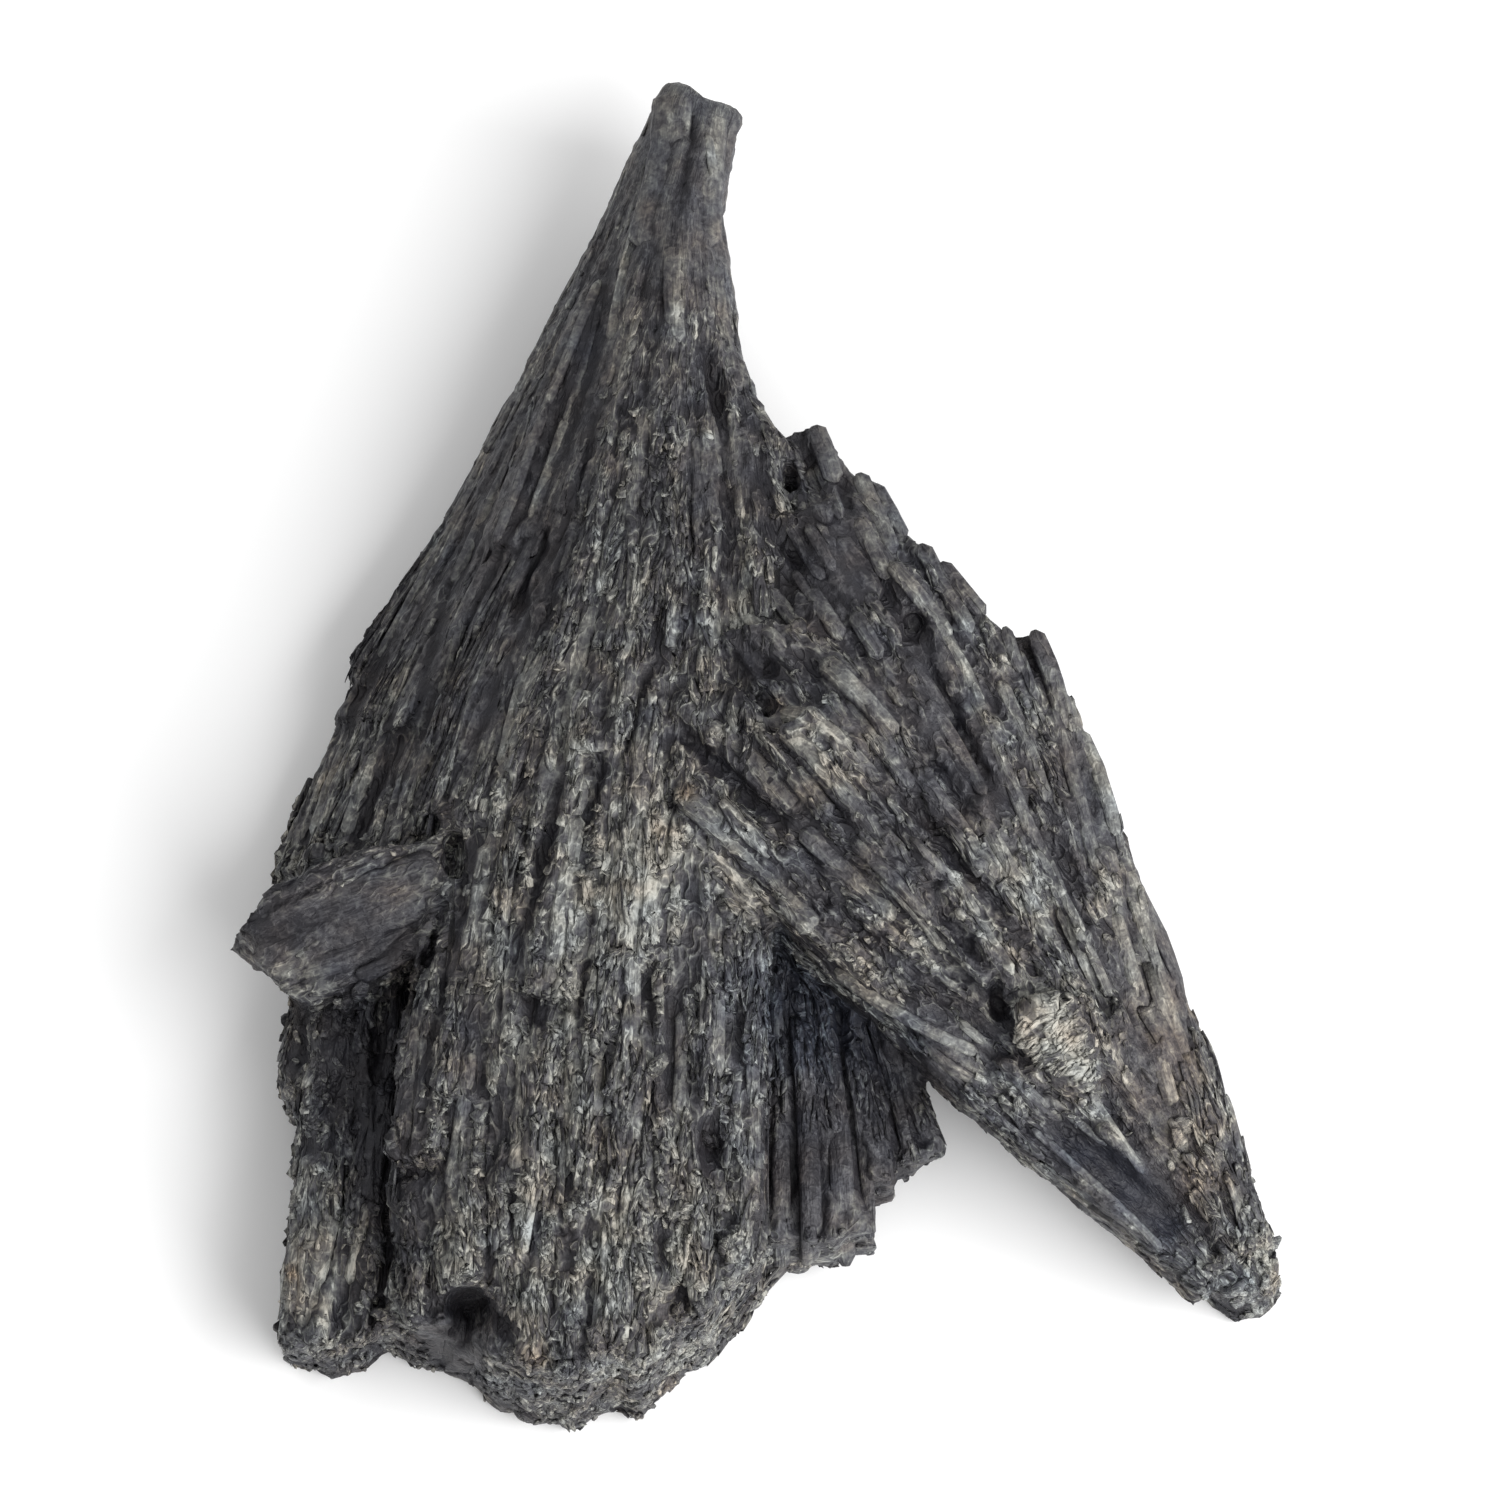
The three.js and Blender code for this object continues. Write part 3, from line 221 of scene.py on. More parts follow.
# Furrows between blades: half width, depth, then where each runs (across, up).
FURROWS = [
    # handle and upper fan
    (0.24, 0.5, [(-3.8, 39.2), (-3.9, 37), (-4.1, 35), (-4.3, 32.2)]),
    (0.4, 0.55, [(-6, 31), (-6.2, 29.5), (-6.6, 27.5), (-6.6, 26)]),
    (0.7, 0.5, [
        (-8.7, 30), (-8.8, 28.5), (-9.3, 26.5), (-9.7, 24.5), (-10.2, 22), (-10.7, 19.6), (-11.4, 17)
    ]),
    (0.3, 0.4, [(-5.6, 28.5), (-5.3, 25.5)]),
    (0.5, 0.9, [(-3, 24.6), (-2.8, 23), (-2.3, 21.5), (-2, 19.8)]),
    (0.35, 0.55, [(-11.2, 22.5), (-11.6, 20.5), (-12.2, 18.8), (-12.7, 16.8)]),
    (0.25, 0.4, [(-6.9, 23), (-6.6, 21)]),
    (0.3, 0.5, [(-3.5, 21.4), (-3.4, 20)]),
    (0.3, 0.45, [(-8.1, 17), (-8.4, 14.6), (-8.9, 12.4)]),
    (0.25, 0.4, [(-3.9, 15.4), (-3.8, 12.6)]),
    # left flank
    (0.45, 0.75, [(-12, 13.3), (-12.8, 11.6), (-13.6, 9.6), (-14.2, 7.4)]),
    (0.3, 0.5, [(-10.6, 13), (-11.5, 10.8), (-12.2, 8.6), (-12.9, 6.8)]),
    (0.3, 0.4, [(-15.2, 15.8), (-16.4, 13), (-17.3, 11), (-18, 9.4)]),
    (0.25, 0.4, [(-19, 12.2), (-19.6, 10.7), (-20.6, 8.5)]),
    (0.4, 0.9, [(-21.3, 7.9), (-22, 6.2), (-23, 4.3), (-23.8, 2.4), (-24.1, 1.6)]),
    (0.4, 0.6, [(-18.2, 9.4), (-18.9, 7), (-19.3, 5), (-19.7, 3.3), (-20.4, 1.4)]),
    (0.45, 0.6, [(-14.9, 5.2), (-15.4, 3.4), (-16, 1.8), (-16.8, 0), (-17.5, -1.6)]),
    (0.4, 0.85, [(-20.7, 1.1), (-21.7, -0.4), (-22.5, -2), (-23, -3.6), (-23.7, -5.6)]),
    (0.3, 0.6, [(-25.2, -0.8), (-25.9, -2.6), (-26.6, -4.8), (-26.9, -7.4)]),
    (0.3, 0.5, [(-11, 0.2), (-11.2, -1.4), (-11.6, -3)]),
    (0.35, 0.5, [(-13.6, -0.2), (-13.7, -2.8)]),
    # middle of the main fan
    (0.22, 0.5, [(-6, 6.3), (-5.4, 5), (-5, 4.4)]),
    (0.25, 0.6, [(-5.8, 3.7), (-5.2, 2.3)]),
    (0.4, 0.7, [(-11.5, -3), (-12.2, -5), (-12.6, -7), (-13.2, -9), (-13.9, -11.5), (-14.3, -13)]),
    (0.25, 0.5, [(-8.3, -3.6), (-8.6, -6)]),
    (0.3, 0.65, [(-9.5, -8.4), (-9.7, -11), (-10, -14), (-10.3, -16.4)]),
    (0.25, 0.5, [(-5.1, -7.8), (-5.2, -11)]),
    (0.25, 0.5, [(-8, -11.8), (-7.9, -14.4)]),
    (0.3, 0.6, [(-16.6, -4.6), (-17, -8), (-17.4, -11)]),
    (0.35, 1, [(-14.2, -13.7), (-13, -14.1), (-12, -14.4), (-11.2, -14.7)]),
    (0.5, 0.75, [(-4.8, -13.3), (-4.8, -15.5), (-5, -18), (-5.1, -20.2)]),
    (0.2, 0.5, [(-3.9, -15.6), (-3.9, -20.5)]),
    (0.62, 1.3, [(-2.7, -21), (-2.7, -22.4), (-2.9, -23.7)]),
    (0.25, 0.5, [(-6.2, -18), (-6.1, -21)]),
    (0.22, 0.4, [(-8.8, -17), (-8.9, -21.5)]),
    (0.3, 0.5, [(-14.6, -18), (-15, -22), (-15.4, -24)]),
    (0.25, 0.5, [(-0.9, -13), (-0.9, -17.5)]),
    (0.3, 0.5, [(-18.4, -14.5), (-18.8, -18.4)]),
    # lower end of the main fan
    (0.5, 1, [(-21, -24.3), (-19.6, -24), (-18.2, -24)]),
    (0.4, 0.6, [(-17.4, -21.5), (-17.9, -24.5), (-18.6, -27)]),
    (0.4, 0.7, [(-12.5, -25.2), (-12.9, -28), (-13.4, -31)]),
    (0.3, 0.6, [(-10.7, -23.4), (-11, -25.6)]),
    (0.35, 0.6, [(-10.8, -27), (-10.9, -29.6)]),
    (0.4, 0.7, [(-5.4, -26.6), (-5.6, -28.4), (-5.4, -30.4)]),
    (0.35, 0.7, [(-4.3, -29.8), (-4.2, -32)]),
    (0.3, 0.5, [(-7.9, -24.5), (-8.2, -28)]),
    (0.35, 0.6, [(-1.6, -26.2), (-1.7, -27.4)]),
    (0.3, 0.6, [(-2, -29.5), (-0.8, -29.6)]),
    (0.7, 1, [(-18.8, -32), (-17.4, -31.6), (-16, -31.6), (-14.8, -32.4), (-14.4, -33.4)]),
    (0.4, 0.7, [(-17.6, -33.4), (-18.3, -35.6)]),
    (0.35, 0.7, [(-15.7, -33.6), (-16.5, -36)]),
    # low layer on the left
    (0.4, 0.8, [(-22.4, -26.4), (-23.2, -29), (-23.9, -31.4), (-24.7, -33.8)]),
    (0.4, 0.8, [(-24.2, -27.4), (-25, -30), (-26, -33)]),
    (0.35, 0.6, [(-21.3, -28), (-21.8, -31), (-22.6, -33.8)]),
    (0.5, 0.8, [(-27.4, -34.2), (-25, -34.6), (-22.6, -34.6), (-20.6, -34.2)]),
    (0.6, 0.8, [(-26.4, -14.4), (-26.6, -17), (-26.9, -18.8)]),
    (0.5, 0.7, [(-24.6, -17), (-25.3, -20.6)]),
    # side splinter
    (0.3, 0.7, [(-19.4, -9.1), (-21, -10.2), (-22.2, -11.6), (-23.6, -13)]),
    (0.25, 0.4, [(-20.4, -8.3), (-21.8, -9.7)]),
    (0.3, 0.6, [(-28.2, -7.6), (-27.2, -7.3), (-26.6, -6.4)]),
    # where the second fan meets the main fan
    (0.6, 0.6, [(-1.5, 7), (-0.8, 6.2), (0, 5.6), (0.9, 4.9), (1.5, 4.3)]),
    (0.25, 0.5, [(0.4, 7.6), (1.3, 6.9), (2.1, 6.3)]),
    (0.5, 0.8, [(2.3, 6.3), (3.4, 5), (4.2, 4.3)]),
    (0.3, 0.7, [(4.4, 4), (5.3, 3.1), (6.2, 2), (7, 1.1)]),
    (0.36, 1.1, [(0.6, 1.9), (1.2, 1), (2, 0), (3, -1.2), (4, -2.4), (5, -3.5), (5.9, -4.3)]),
    (0.46, 1.1, [(-4.7, 1.7), (-3.5, 0.9), (-2.7, -0.1), (-1.8, -0.9), (0, -2.6), (1, -3.3), (2, -4)]),
    (0.4, 1, [(-5, -2.5), (-4.8, -3.4)]),
    (0.28, 0.8, [(-4.4, -3.2), (-3.2, -3.9), (-2, -4.8), (-1, -5.5), (0, -6.4), (1, -7.3), (2, -8.2)]),
    (0.18, 0.4, [(-3.8, -4.5), (-2, -6)]),
    (0.35, 0.8, [(1.1, 13.5), (1.8, 12.3), (2.6, 11.2), (3.1, 10.5)]),
    (0.3, 0.5, [(2, 9.4), (3, 8), (3.8, 6.9)]),
    (0.28, 0.6, [(3.8, 9.8), (4.7, 8.2)]),
    (0.45, 0.8, [(5.4, 7.9), (6.3, 6.2), (7.2, 4.6)]),
    (0.3, 0.6, [(7.5, 3.7), (8.4, 2.7)]),
    (0.3, 0.5, [(7.4, 6.3), (8.2, 4.8), (9, 3.4)]),
    (0.5, 1, [(4.9, 16.5), (5.3, 15), (5.6, 14.4)]),
    (0.3, 0.6, [(5.1, 13.5), (5.8, 12.2)]),
    (0.25, 0.5, [(7, 15.2), (7.8, 13.6), (8.4, 12.3)]),
    (0.35, 0.9, [(6.8, 10.9), (7.6, 10), (8.2, 9.2), (8.7, 8.5)]),
    (0.35, 0.8, [(9.8, 5.9), (10.6, 4.6), (11.3, 3), (12, 1.4), (12.8, 0), (13.6, -1.4)]),
    (0.25, 0.5, [(8.8, 12.2), (9.4, 10.8)]),
    (0.28, 0.5, [(10.8, 8.2), (11.8, 6.4)]),
    (0.3, 0.6, [(12.2, 6.8), (13, 5.3), (13.7, 3.9), (14.3, 2.3)]),
    (0.3, 0.5, [(6.2, -0.1), (7.2, -1.5)]),
    (0.28, 0.5, [(8.5, -0.2), (9.3, -1.6)]),
    (0.35, 0.7, [(2.2, -4.4), (3, -5.6), (4, -7.3)]),
    (0.5, 0.4, [(4.2, -6.6), (5.2, -7.2), (6, -8)]),
    (0.22, 0.5, [(6.2, -8.2), (7.2, -9.2), (8.4, -10.4), (9.6, -11.8)]),
    # along the second fan
    (0.32, 0.7, [(8, -1.9), (9.4, -3.4), (10.4, -4.4), (11.2, -5.4), (13.2, -7.8), (15.2, -10.2)]),
    (0.36, 0.8, [(10.2, -8), (11, -9.3), (12, -10.5), (12.8, -11.6), (13.6, -12.5)]),
    (0.45, 1.3, [(13.7, -13.5), (14.2, -14.8), (15, -16)]),
    (0.35, 0.6, [(15, -16.2), (15.6, -17.8), (16.6, -19.2), (18, -20.3)]),
    (0.35, 0.7, [(15.7, -11.9), (16.4, -13.1)]),
    (0.3, 0.5, [(14.8, -13.8), (16.2, -13.4), (17.6, -13.4)]),
    (0.3, 0.5, [(19.9, -16.6), (20.1, -18.6)]),
    (0.32, 0.7, [(16.1, -4.3), (16.8, -5.9), (17.7, -7.3)]),
    (0.28, 0.6, [(18.2, 0.7), (18.9, -0.6), (19.6, -2.4), (19.9, -4)]),
    (0.32, 1, [(15.8, 6.5), (16.3, 5.2), (16.6, 4.3)]),
    (0.2, 0.4, [(18.7, -8.3), (19.4, -9.9), (20, -11.2)]),
    (0.26, 0.6, [(16.9, -8.6), (18, -10.4), (18.8, -11.9), (19.6, -13.3), (20.4, -14.8), (21, -15.9)]),
    (0.35, 0.8, [(20, -19.3), (20.8, -20.8), (21.8, -22), (22.7, -23.3)]),
    (0.4, 0.9, [(23.1, -23.8), (24.2, -25.2), (25.2, -26.4), (26.1, -26.9)]),
    (1.2, 0.9, [(17.4, -21.6), (20, -23.4), (22.2, -25.4), (24.4, -27.8)]),
    (0.3, 0.4, [(13, -19.2), (15, -21), (17, -22.9), (18.6, -24.6)]),
    (0.28, 0.5, [(8.6, -14.6), (10.8, -15.6), (12.6, -16.6), (14.4, -18)]),
    (0.3, 0.5, [(14.8, -17.3), (16, -18.9)]),
    # low sheaf between the fans
    (0.3, 0.7, [(0.5, -13), (0.7, -18), (0.7, -24), (0.7, -28)]),
    (0.35, 0.7, [(1.9, -12), (2.1, -17.5), (2.2, -22), (2, -26)]),
    (0.3, 0.6, [(2.5, -26), (2.5, -29.6)]),
    (0.35, 0.7, [(3.4, -21), (3.8, -25), (4, -29)]),
    (0.45, 0.9, [(4.6, -14.6), (5, -18), (5.7, -21), (6.2, -24.4), (6.5, -26)]),
    (0.45, 0.9, [(6.2, -15), (7.2, -18), (8, -20.6), (8.3, -22.4), (8.4, -25)]),
    (0.35, 0.7, [(8, -17), (9, -20), (9.5, -22.6)]),
]
# Ribs that stand up along a furrow: half width, height, then where each runs.
RIDGES = [
    (0.45, 0.45, [(-9.6, 27.6), (-10.5, 25.6), (-11.3, 23.6)]),
    (0.45, 0.45, [(-12.1, 21.4), (-12.9, 19), (-13.6, 17.2), (-14.4, 14.6), (-15.2, 12.8)]),
    (0.4, 0.35, [(-3.3, 37.6), (-2.8, 36), (-2.4, 34), (-2.6, 31.5)]),
    (0.9, 0.7, [(-1.9, 38.4), (-1.4, 37.4)]),
    (1.2, 0.7, [(-5.1, 38.8), (-4.3, 39.4)]),
    (0.4, 0.4, [(-10.6, 1), (-9.6, 0.8), (-8.6, 0.4)]),
    (0.5, 0.35, [(4.1, 5.2), (5.2, 4.6), (6.3, 3.3), (7.6, 1.9), (8.4, 0.9)]),
    (0.35, 0.4, [(9, -4.9), (9.9, -5.9), (11, -6.8)]),
    (0.4, 0.5, [(-21.6, -22.8), (-19.4, -23)]),
    (0.4, 0.4, [(12, -15.6), (13.2, -16.5)]),
    (0.4, 0.4, [(18.4, -24.2), (19.8, -25.2), (21.4, -26.4)]),
    (0.5, 0.5, [(-22.8, -27.8), (-23, -28.8), (-23.2, -30)]),
    (0.45, 0.4, [(-20, -10.6), (-21.6, -12.2), (-23, -13.4)]),
    (0.35, 0.3, [(4, -12.4), (8, -14.4), (13, -16.9), (20, -21.7), (24, -25.3), (26, -27)]),
    (0.4, 0.35, [(-25.6, -33.4), (-25, -31), (-24.2, -28.6), (-23.2, -26)]),
]
# Holes and pits: across, up, radius, depth.
PITS = [
    (3.2, 17.8, 0.4, 0.8), (9.4, 7.6, 0.8, 1), (-4.3, 20.8, 0.9, 0.4),
    (-1.7, 11.1, 0.4, 0.8), (-12.2, 12.7, 0.4, 0.5), (-12.5, -15, 0.9, 0.9), (-9.2, -7.1, 0.5, 0.7),
    (4.2, -8.5, 0.4, 1), (2.9, -9, 0.4, 0.8),
    (27, -28.6, 0.8, 0.7), (28.3, -29.8, 0.4, 0.5), (28.3, -31.8, 0.9, 0.6), (26, -27.6, 0.5, 0.5),
    (-15, -37.2, 0.8, 0.6), (-11, -37.4, 0.6, 0.6), (-14, -39, 0.5, 0.5), (-7.9, -38.2, 0.5, 0.4),
    (-26, -35.5, 1, 0.6), (-22.4, -35.4, 0.8, 0.6), (-24.6, -19.5, 1, 0.9), (-26, -22.6, 0.8, 0.6),
    (-14.3, -25.4, 0.4, 0.6), (-8.4, -21, 0.4, 0.4), (7, -25.6, 0.5, 0.6), (-5.1, 15.6, 0.3, 0.3),
]
# A square stub of stacked crystals on the second fan.
STUB_MIDDLE = (17.4, -16.6)
STUB_HALF_WIDTH = 2.1
STUB_HALF_HEIGHT = 2.8
STUB_RISE = 0.8
STUB_LEAN = 0.3
LINE_STEP = 0.1  # the furrows are traced by points this far apart
REACH = 1.6  # and change the crystal no further off than this
RAGGED = 0.3  # how far their edges wander


def traced(line):
    """Points along a line, and how much of the line's depth each has: less near both ends."""
    line = np.array(line, dtype=float)
    walked = np.concatenate([[0], np.cumsum(np.hypot(*np.diff(line, axis=0).T))])
    steps = np.arange(0, walked[-1], LINE_STEP)
    points = np.stack([np.interp(steps, walked, line[:, k]) for k in (0, 1)], axis=1)
    share = np.minimum(steps, walked[-1] - steps) / min(1.2, walked[-1] / 2)
    return points, np.clip(0.35 + 0.65 * share, 0, 1)


def off_stub(across, up):
    """How far out from the middle of the stub a place is: 1 is its edge."""
    above = up - STUB_MIDDLE[1]
    aside = across - STUB_MIDDLE[0] + STUB_LEAN * above
    return (aside / STUB_HALF_WIDTH) ** 4 + (above / STUB_HALF_HEIGHT) ** 4


def drawn_relief(across, up):
    """How far the drawn furrows and pits go in, and how far the ridges stand out, in mm."""
    sunk, raised = np.zeros(len(across)), np.zeros(len(across))
    ragged = np.array([noise.noise_vector((a * 0.9, u * 0.9, 0)) for a, u in zip(across, up)])
    across, up = across + RAGGED * ragged[:, 0], up + RAGGED * ragged[:, 1]
    for lines, total in ((FURROWS, sunk), (RIDGES, raised)):
        tree = KDTree(sum(len(traced(line)[0]) for _, _, line in lines))
        widths, depths = [], []
        for half_width, depth, line in lines:
            points, share = traced(line)
            for point, part in zip(points, share):
                tree.insert((*point, 0), len(widths))
                widths.append(half_width)
                depths.append(depth * part)
        tree.balance()
        for i, place in enumerate(zip(across, up)):
            for _, index, off in tree.find_range((*place, 0), REACH):
                off = off / (widths[index] * 1.5)
                if off < 1:
                    total[i] = max(total[i], depths[index] * (1 - off * off) ** 2)
    for at_across, at_up, radius, depth in PITS:
        off = np.hypot(across - at_across, up - at_up) / (radius * 1.4)
        sunk[:] = np.maximum(sunk, depth * np.clip(1 - off * off, 0, 1) ** 2)
    off = off_stub(across, up)
    raised[:] = np.maximum(raised, STUB_RISE * np.clip((1.25 - off) / 0.6, 0, 1))
    sunk[off < 0.9] = 0
    return sunk, raised


RIBS = 0.3 * MM  # how high the broad ribs stand
FINE_RIBS = 0.16 * MM
GRAINS = 0.12 * MM
HANDLE_WORN = 0.75  # how much of the ribs is worn off the handle
ENDS_PLAIN = 0.7  # how much of all this is missing where blades broke across
FANS_APART = 50  # each fan has ribs of its own
CRACKS = 0.42  # how deep the cracks between blades are, in mm
CRACK_WIDTH = 0.07
CUT_AWAY = 0.65  # this share of a furrow's depth goes away from the eye, the rest goes inwards
FACING_SIGHT = 0.12  # a face is seen if it is turned to the eye more than this
ROUNDED_TIP = 36.5  # the handle is worn round above this
TIP_PASSES = 40
ROUNDED_ENDS = -33  # and the splayed ends are a little below this
END_PASSES = 12
SORTED_ALONG = Vector((1, math.sqrt(2), math.sqrt(5)))


def rank(face):
    """Where a face comes in the sorted grid: by its first corner, then by the others."""
    corners = [v.index for v in face.verts]
    return min(corners) * len(skin_form.verts) * len(corners) + sum(corners)


skin_form = bmesh.new()
skin_form.from_mesh(skin_mesh)
# The grid comes in no set order. It is sorted, so that the seeded draws pick the same places.
skin_form.verts.sort(key=lambda v: v.co.dot(SORTED_ALONG))
skin_form.verts.index_update()
skin_form.faces.sort(key=rank)
_, up, _ = as_seen([v.co for v in skin_form.verts])
worn = [v for v, level in zip(skin_form.verts, up) if level > ROUNDED_TIP]
ends = [v for v, level in zip(skin_form.verts, up) if level < ROUNDED_ENDS]
axes = dict.fromkeys(("use_axis_x", "use_axis_y", "use_axis_z"), True)
for verts, passes in ((worn, TIP_PASSES), (ends, END_PASSES)):
    for _ in range(passes):
        bmesh.ops.smooth_vert(skin_form, verts=verts, factor=0.5, **axes)
skin_form.to_mesh(skin_mesh)
skin_form.free()

places = vectors(skin_mesh.vertices, "co")
outward = np.array([v.normal for v in skin_mesh.vertices])
fan, run, beside, beyond = blade_lines(places)
across, up, height = as_seen(places)
toward_sight = np.array(sight)
smooth_tree = BVHTree.FromPolygons(places.tolist(), [tuple(f.vertices) for f in skin_mesh.polygons])
open_to_sight = outward @ toward_sight > FACING_SIGHT
for i in np.flatnonzero(open_to_sight):
    start = Vector(places[i] + outward[i] * 0.3 * MM)
    if smooth_tree.ray_cast(start, sight)[0]:
        open_to_sight[i] = False
sunk, raised = np.zeros(len(places)), np.zeros(len(places))
sunk[open_to_sight], raised[open_to_sight] = drawn_relief(across[open_to_sight], up[open_to_sight])
ribbed = 1 - HANDLE_WORN * np.clip((up - SMOOTH_HANDLE[0]) / (SMOOTH_HANDLE[1] - SMOOTH_HANDLE[0]), 0, 1)
along_blades = list(zip(beside + fan * FANS_APART, beyond, height))
ribs = [
    RIBS * noise.noise((b * 1.1, a * 0.09, h * 1.1))
    + FINE_RIBS * noise.noise((b * 2.7, a * 0.28, h * 2.7 + 40))
    for b, a, h in along_blades
]
grains = [GRAINS * noise.noise(tuple(p)) for p in places * 1.7 / MM]
cracks = [
    noise.noise((b * 0.5, a * 0.035, h * 0.3 + 90)) + 0.16 * noise.noise((b * 1.9, a * 0.3, h))
    for b, a, h in along_blades
]
cracks = CRACKS * np.exp(-((np.array(cracks) / CRACK_WIDTH) ** 2)) * ribbed
sunk = np.maximum(sunk, cracks)
end_on = np.clip((np.abs(np.sum(outward * run, axis=1)) - 0.45) / 0.3, 0, 1)
relief = (np.array(ribs) * ribbed + np.array(grains)) * (1 - ENDS_PLAIN * end_on)
carved = raised - sunk * (1 - CUT_AWAY)
places += outward * (relief + carved * MM)[:, None] - toward_sight * (sunk * CUT_AWAY * MM)[:, None]
places[:, 2] = np.maximum(places[:, 2], 0)
skin_mesh.vertices.foreach_set("co", places.ravel())
skin_mesh.update()

# Patches where the crystal is painted paler or darker than the rest, or brown or bluish, many of
# the darker ones as shade: across, up, half width, half height, how much paler, how much warmer.
PATCHES = [
    # pale broken zones
    (-6.5, -8.5, 3.2, 3, 0.2, 0),
    (-6, -7.8, 1.5, 2, 0.15, 0),
    (-11.5, -10, 2, 2.6, 0.3, 0),
    (17.4, -16.6, 3, 3.3, 0.66, 0.1),
    (7.5, -11, 3, 2.6, 0.3, 0.2),
    (29.4, -30, 2.2, 3.2, 0.5, 0.1),
    (23.8, -18, 2.6, 9, 0.26, 0.6),
    (-13, -37.6, 4.5, 2.6, -0.14, 0),
    (3.6, -30.2, 1.6, 0.5, 0.4, 0),
    (-0.4, 8, 1.8, 0.8, 0.5, 0),
    (6.6, 8.3, 1.7, 0.6, 0.4, 0),
    (-27, -13, 1.4, 1, 0.5, 0.2),
    (-23, -28.5, 0.9, 3.4, 0.4, 0.1),
    (-8.8, 0.3, 2.6, 0.6, 0.4, 0),
    (2.4, -0.5, 2.4, 3.6, 0.25, 0),
    (-9, -30, 7, 5, 0.5, 0),
    # darker places: painted shade in hollows, gaps and holes, on the steps of the second fan, where the
    # fans meet and down the main fan's left flank; bluish in the low sheaf; a few here are paler
    (-9.8, 24, 1, 5, -0.4, -0.2),
    # painted shade down the left flank, which is turned from the light
    (-16, 12, 7, 13, -0.36, 0),
    (-5, 12, 5, 10, -0.04, 0),
    (-8, -6, 8, 6, 0.26, 0),
    (-10, 3.4, 6, 7, 0.22, 0),
    (-9, -18, 8, 6, 0.1, 0),
    (-4, 34, 5, 6, -0.08, 0),
    (8, 11, 7, 6, -0.44, 0),
    (10, -3, 7, 6, -0.5, 0),
    (-24, -18.5, 3.6, 5, -0.7, -0.1),
    (-25, -10.4, 5, 3.4, -0.35, 0),
    (5, -22, 5, 6, -0.34, 0),
    (-21, -27, 3.6, 5, -0.2, 0),
    (-17.3, -33.8, 2, 2.4, -0.75, 0),
    (-19.2, -34.6, 1.3, 1.9, -0.5, 0),
    (-21.8, -20, 1.3, 8, -0.6, -0.2),
    (-2.7, -22.3, 0.8, 1.4, -0.8, 0.2),
    (0.7, 5.2, 1.5, 1.1, -0.4, 0),
    # painted shade, bluish, in the groove under the second fan's crest
    (19.4, -23, 1.7, 1, -0.3, -0.9),
    (21.6, -24.8, 1.6, 1.3, -0.3, -1.1),
    (23.8, -27, 1.5, 1.4, -0.3, -1.1),
    (19, -25, 1.4, 1.2, 0.65, 0.4),
    (21.8, -27.6, 1.4, 1.2, 0.65, 0.4),
    # painted shade on the facet under the second fan, which is brownish too
    (11, -18, 2.4, 1.8, -0.4, 0.4),
    # brown
    (2.6, -1.9, 1, 1.3, 0.1, 1),
    (25.6, -24.8, 1.4, 2.6, 0.1, 0.9),
    (-4.8, -37, 1, 0.7, 0.3, 1),
    (-12.5, -34.6, 1, 0.6, 0.2, 0.9),
    (-4, -2.1, 0.7, 0.6, 0, 1.6),
    (1.3, 3, 0.6, 0.6, 0, 1.6),
    (-27, -30, 0.5, 0.5, 0, 1.8),
]


# The second fan's lower left side, under its crest, is turned from the light and painted darker as
# shade; the crest runs at these angles.
RIDGE_DISTANCE = [12, 14.3, 22, 30.4, 35.8, 40]
RIDGE_ANGLE = [55.5, 53.5, 48.7, 45, 42.2, 40.4]


def tone_and_warmth(points):
    across, up, height = as_seen(points)
    fan, _, beside, beyond = blade_lines(points)
    tone = np.array([
        0.65 * noise.noise((b * 0.55, a * 0.07, h * 0.4 + 30))
        for b, a, h in zip(beside + fan * FANS_APART, beyond, height)
    ])
    warmth = np.zeros(len(across))
    angle, distance = polar(CROSS_APEX, across, up, -1)
    past_ridge = np.interp(distance, RIDGE_DISTANCE, RIDGE_ANGLE) - angle
    # Painted shade with a bluish tint on that lower left side of the second fan.
    side = np.where(fan == CROSS, np.clip(past_ridge / 0.8, 0, 1) * np.clip((40 - distance) / 6, 0, 1), 0)
    tone -= 0.12 * side
    warmth -= 0.4 * side
    # Painted shade, bluish, in the corner under the second fan, where it stands over the low sheaf.
    crotch_shade = np.exp(-1.2 * (((across - 4) / 5) ** 2 + ((up + 14) / 6) ** 2)) * (fan != CROSS)
    tone -= 0.5 * crotch_shade
    warmth -= 1.6 * crotch_shade
    for at_across, at_up, wide, high, paler, warmer in PATCHES:
        off = ((across - at_across) / wide) ** 2 + ((up - at_up) / high) ** 2
        near = np.exp(-1.2 * off)
        tone += paler * near
        warmth += warmer * near
    return tone, warmth


# Where the crystal is bare and smooth: across, up, half width, half height.
BARE = [
    (-14.6, 15, 3.6, 8), (-9.6, 24, 1.6, 6), (-19.4, 5, 1.2, 4), (-16, 2.4, 1.2, 3), (-4, 34, 5, 8),
    (4, 18, 2.4, 2.6), (7.2, 15, 2.2, 2.6), (4.6, 11.2, 2, 3.6), (0.2, 5.4, 1.6, 1.4), (6.2, 3.2, 2.2, 2.2),
    (23.4, -14, 2.6, 12), (19.6, -1, 1.8, 6), (-25, -10.4, 5.6, 3.2), (21.4, -25, 3.4, 3.4),
    (4, -25, 5, 4), (-22.6, -20, 1.6, 5), (11, -17.6, 3, 2), (-4.8, -17, 0.8, 3.6), (-11.6, -1.4, 0.8, 2),
    (10.4, 4, 1.2, 3), (13, -1.6, 1.4, 3), (-17.6, -34, 1.8, 2), (-1.8, 17, 2.4, 3),
]


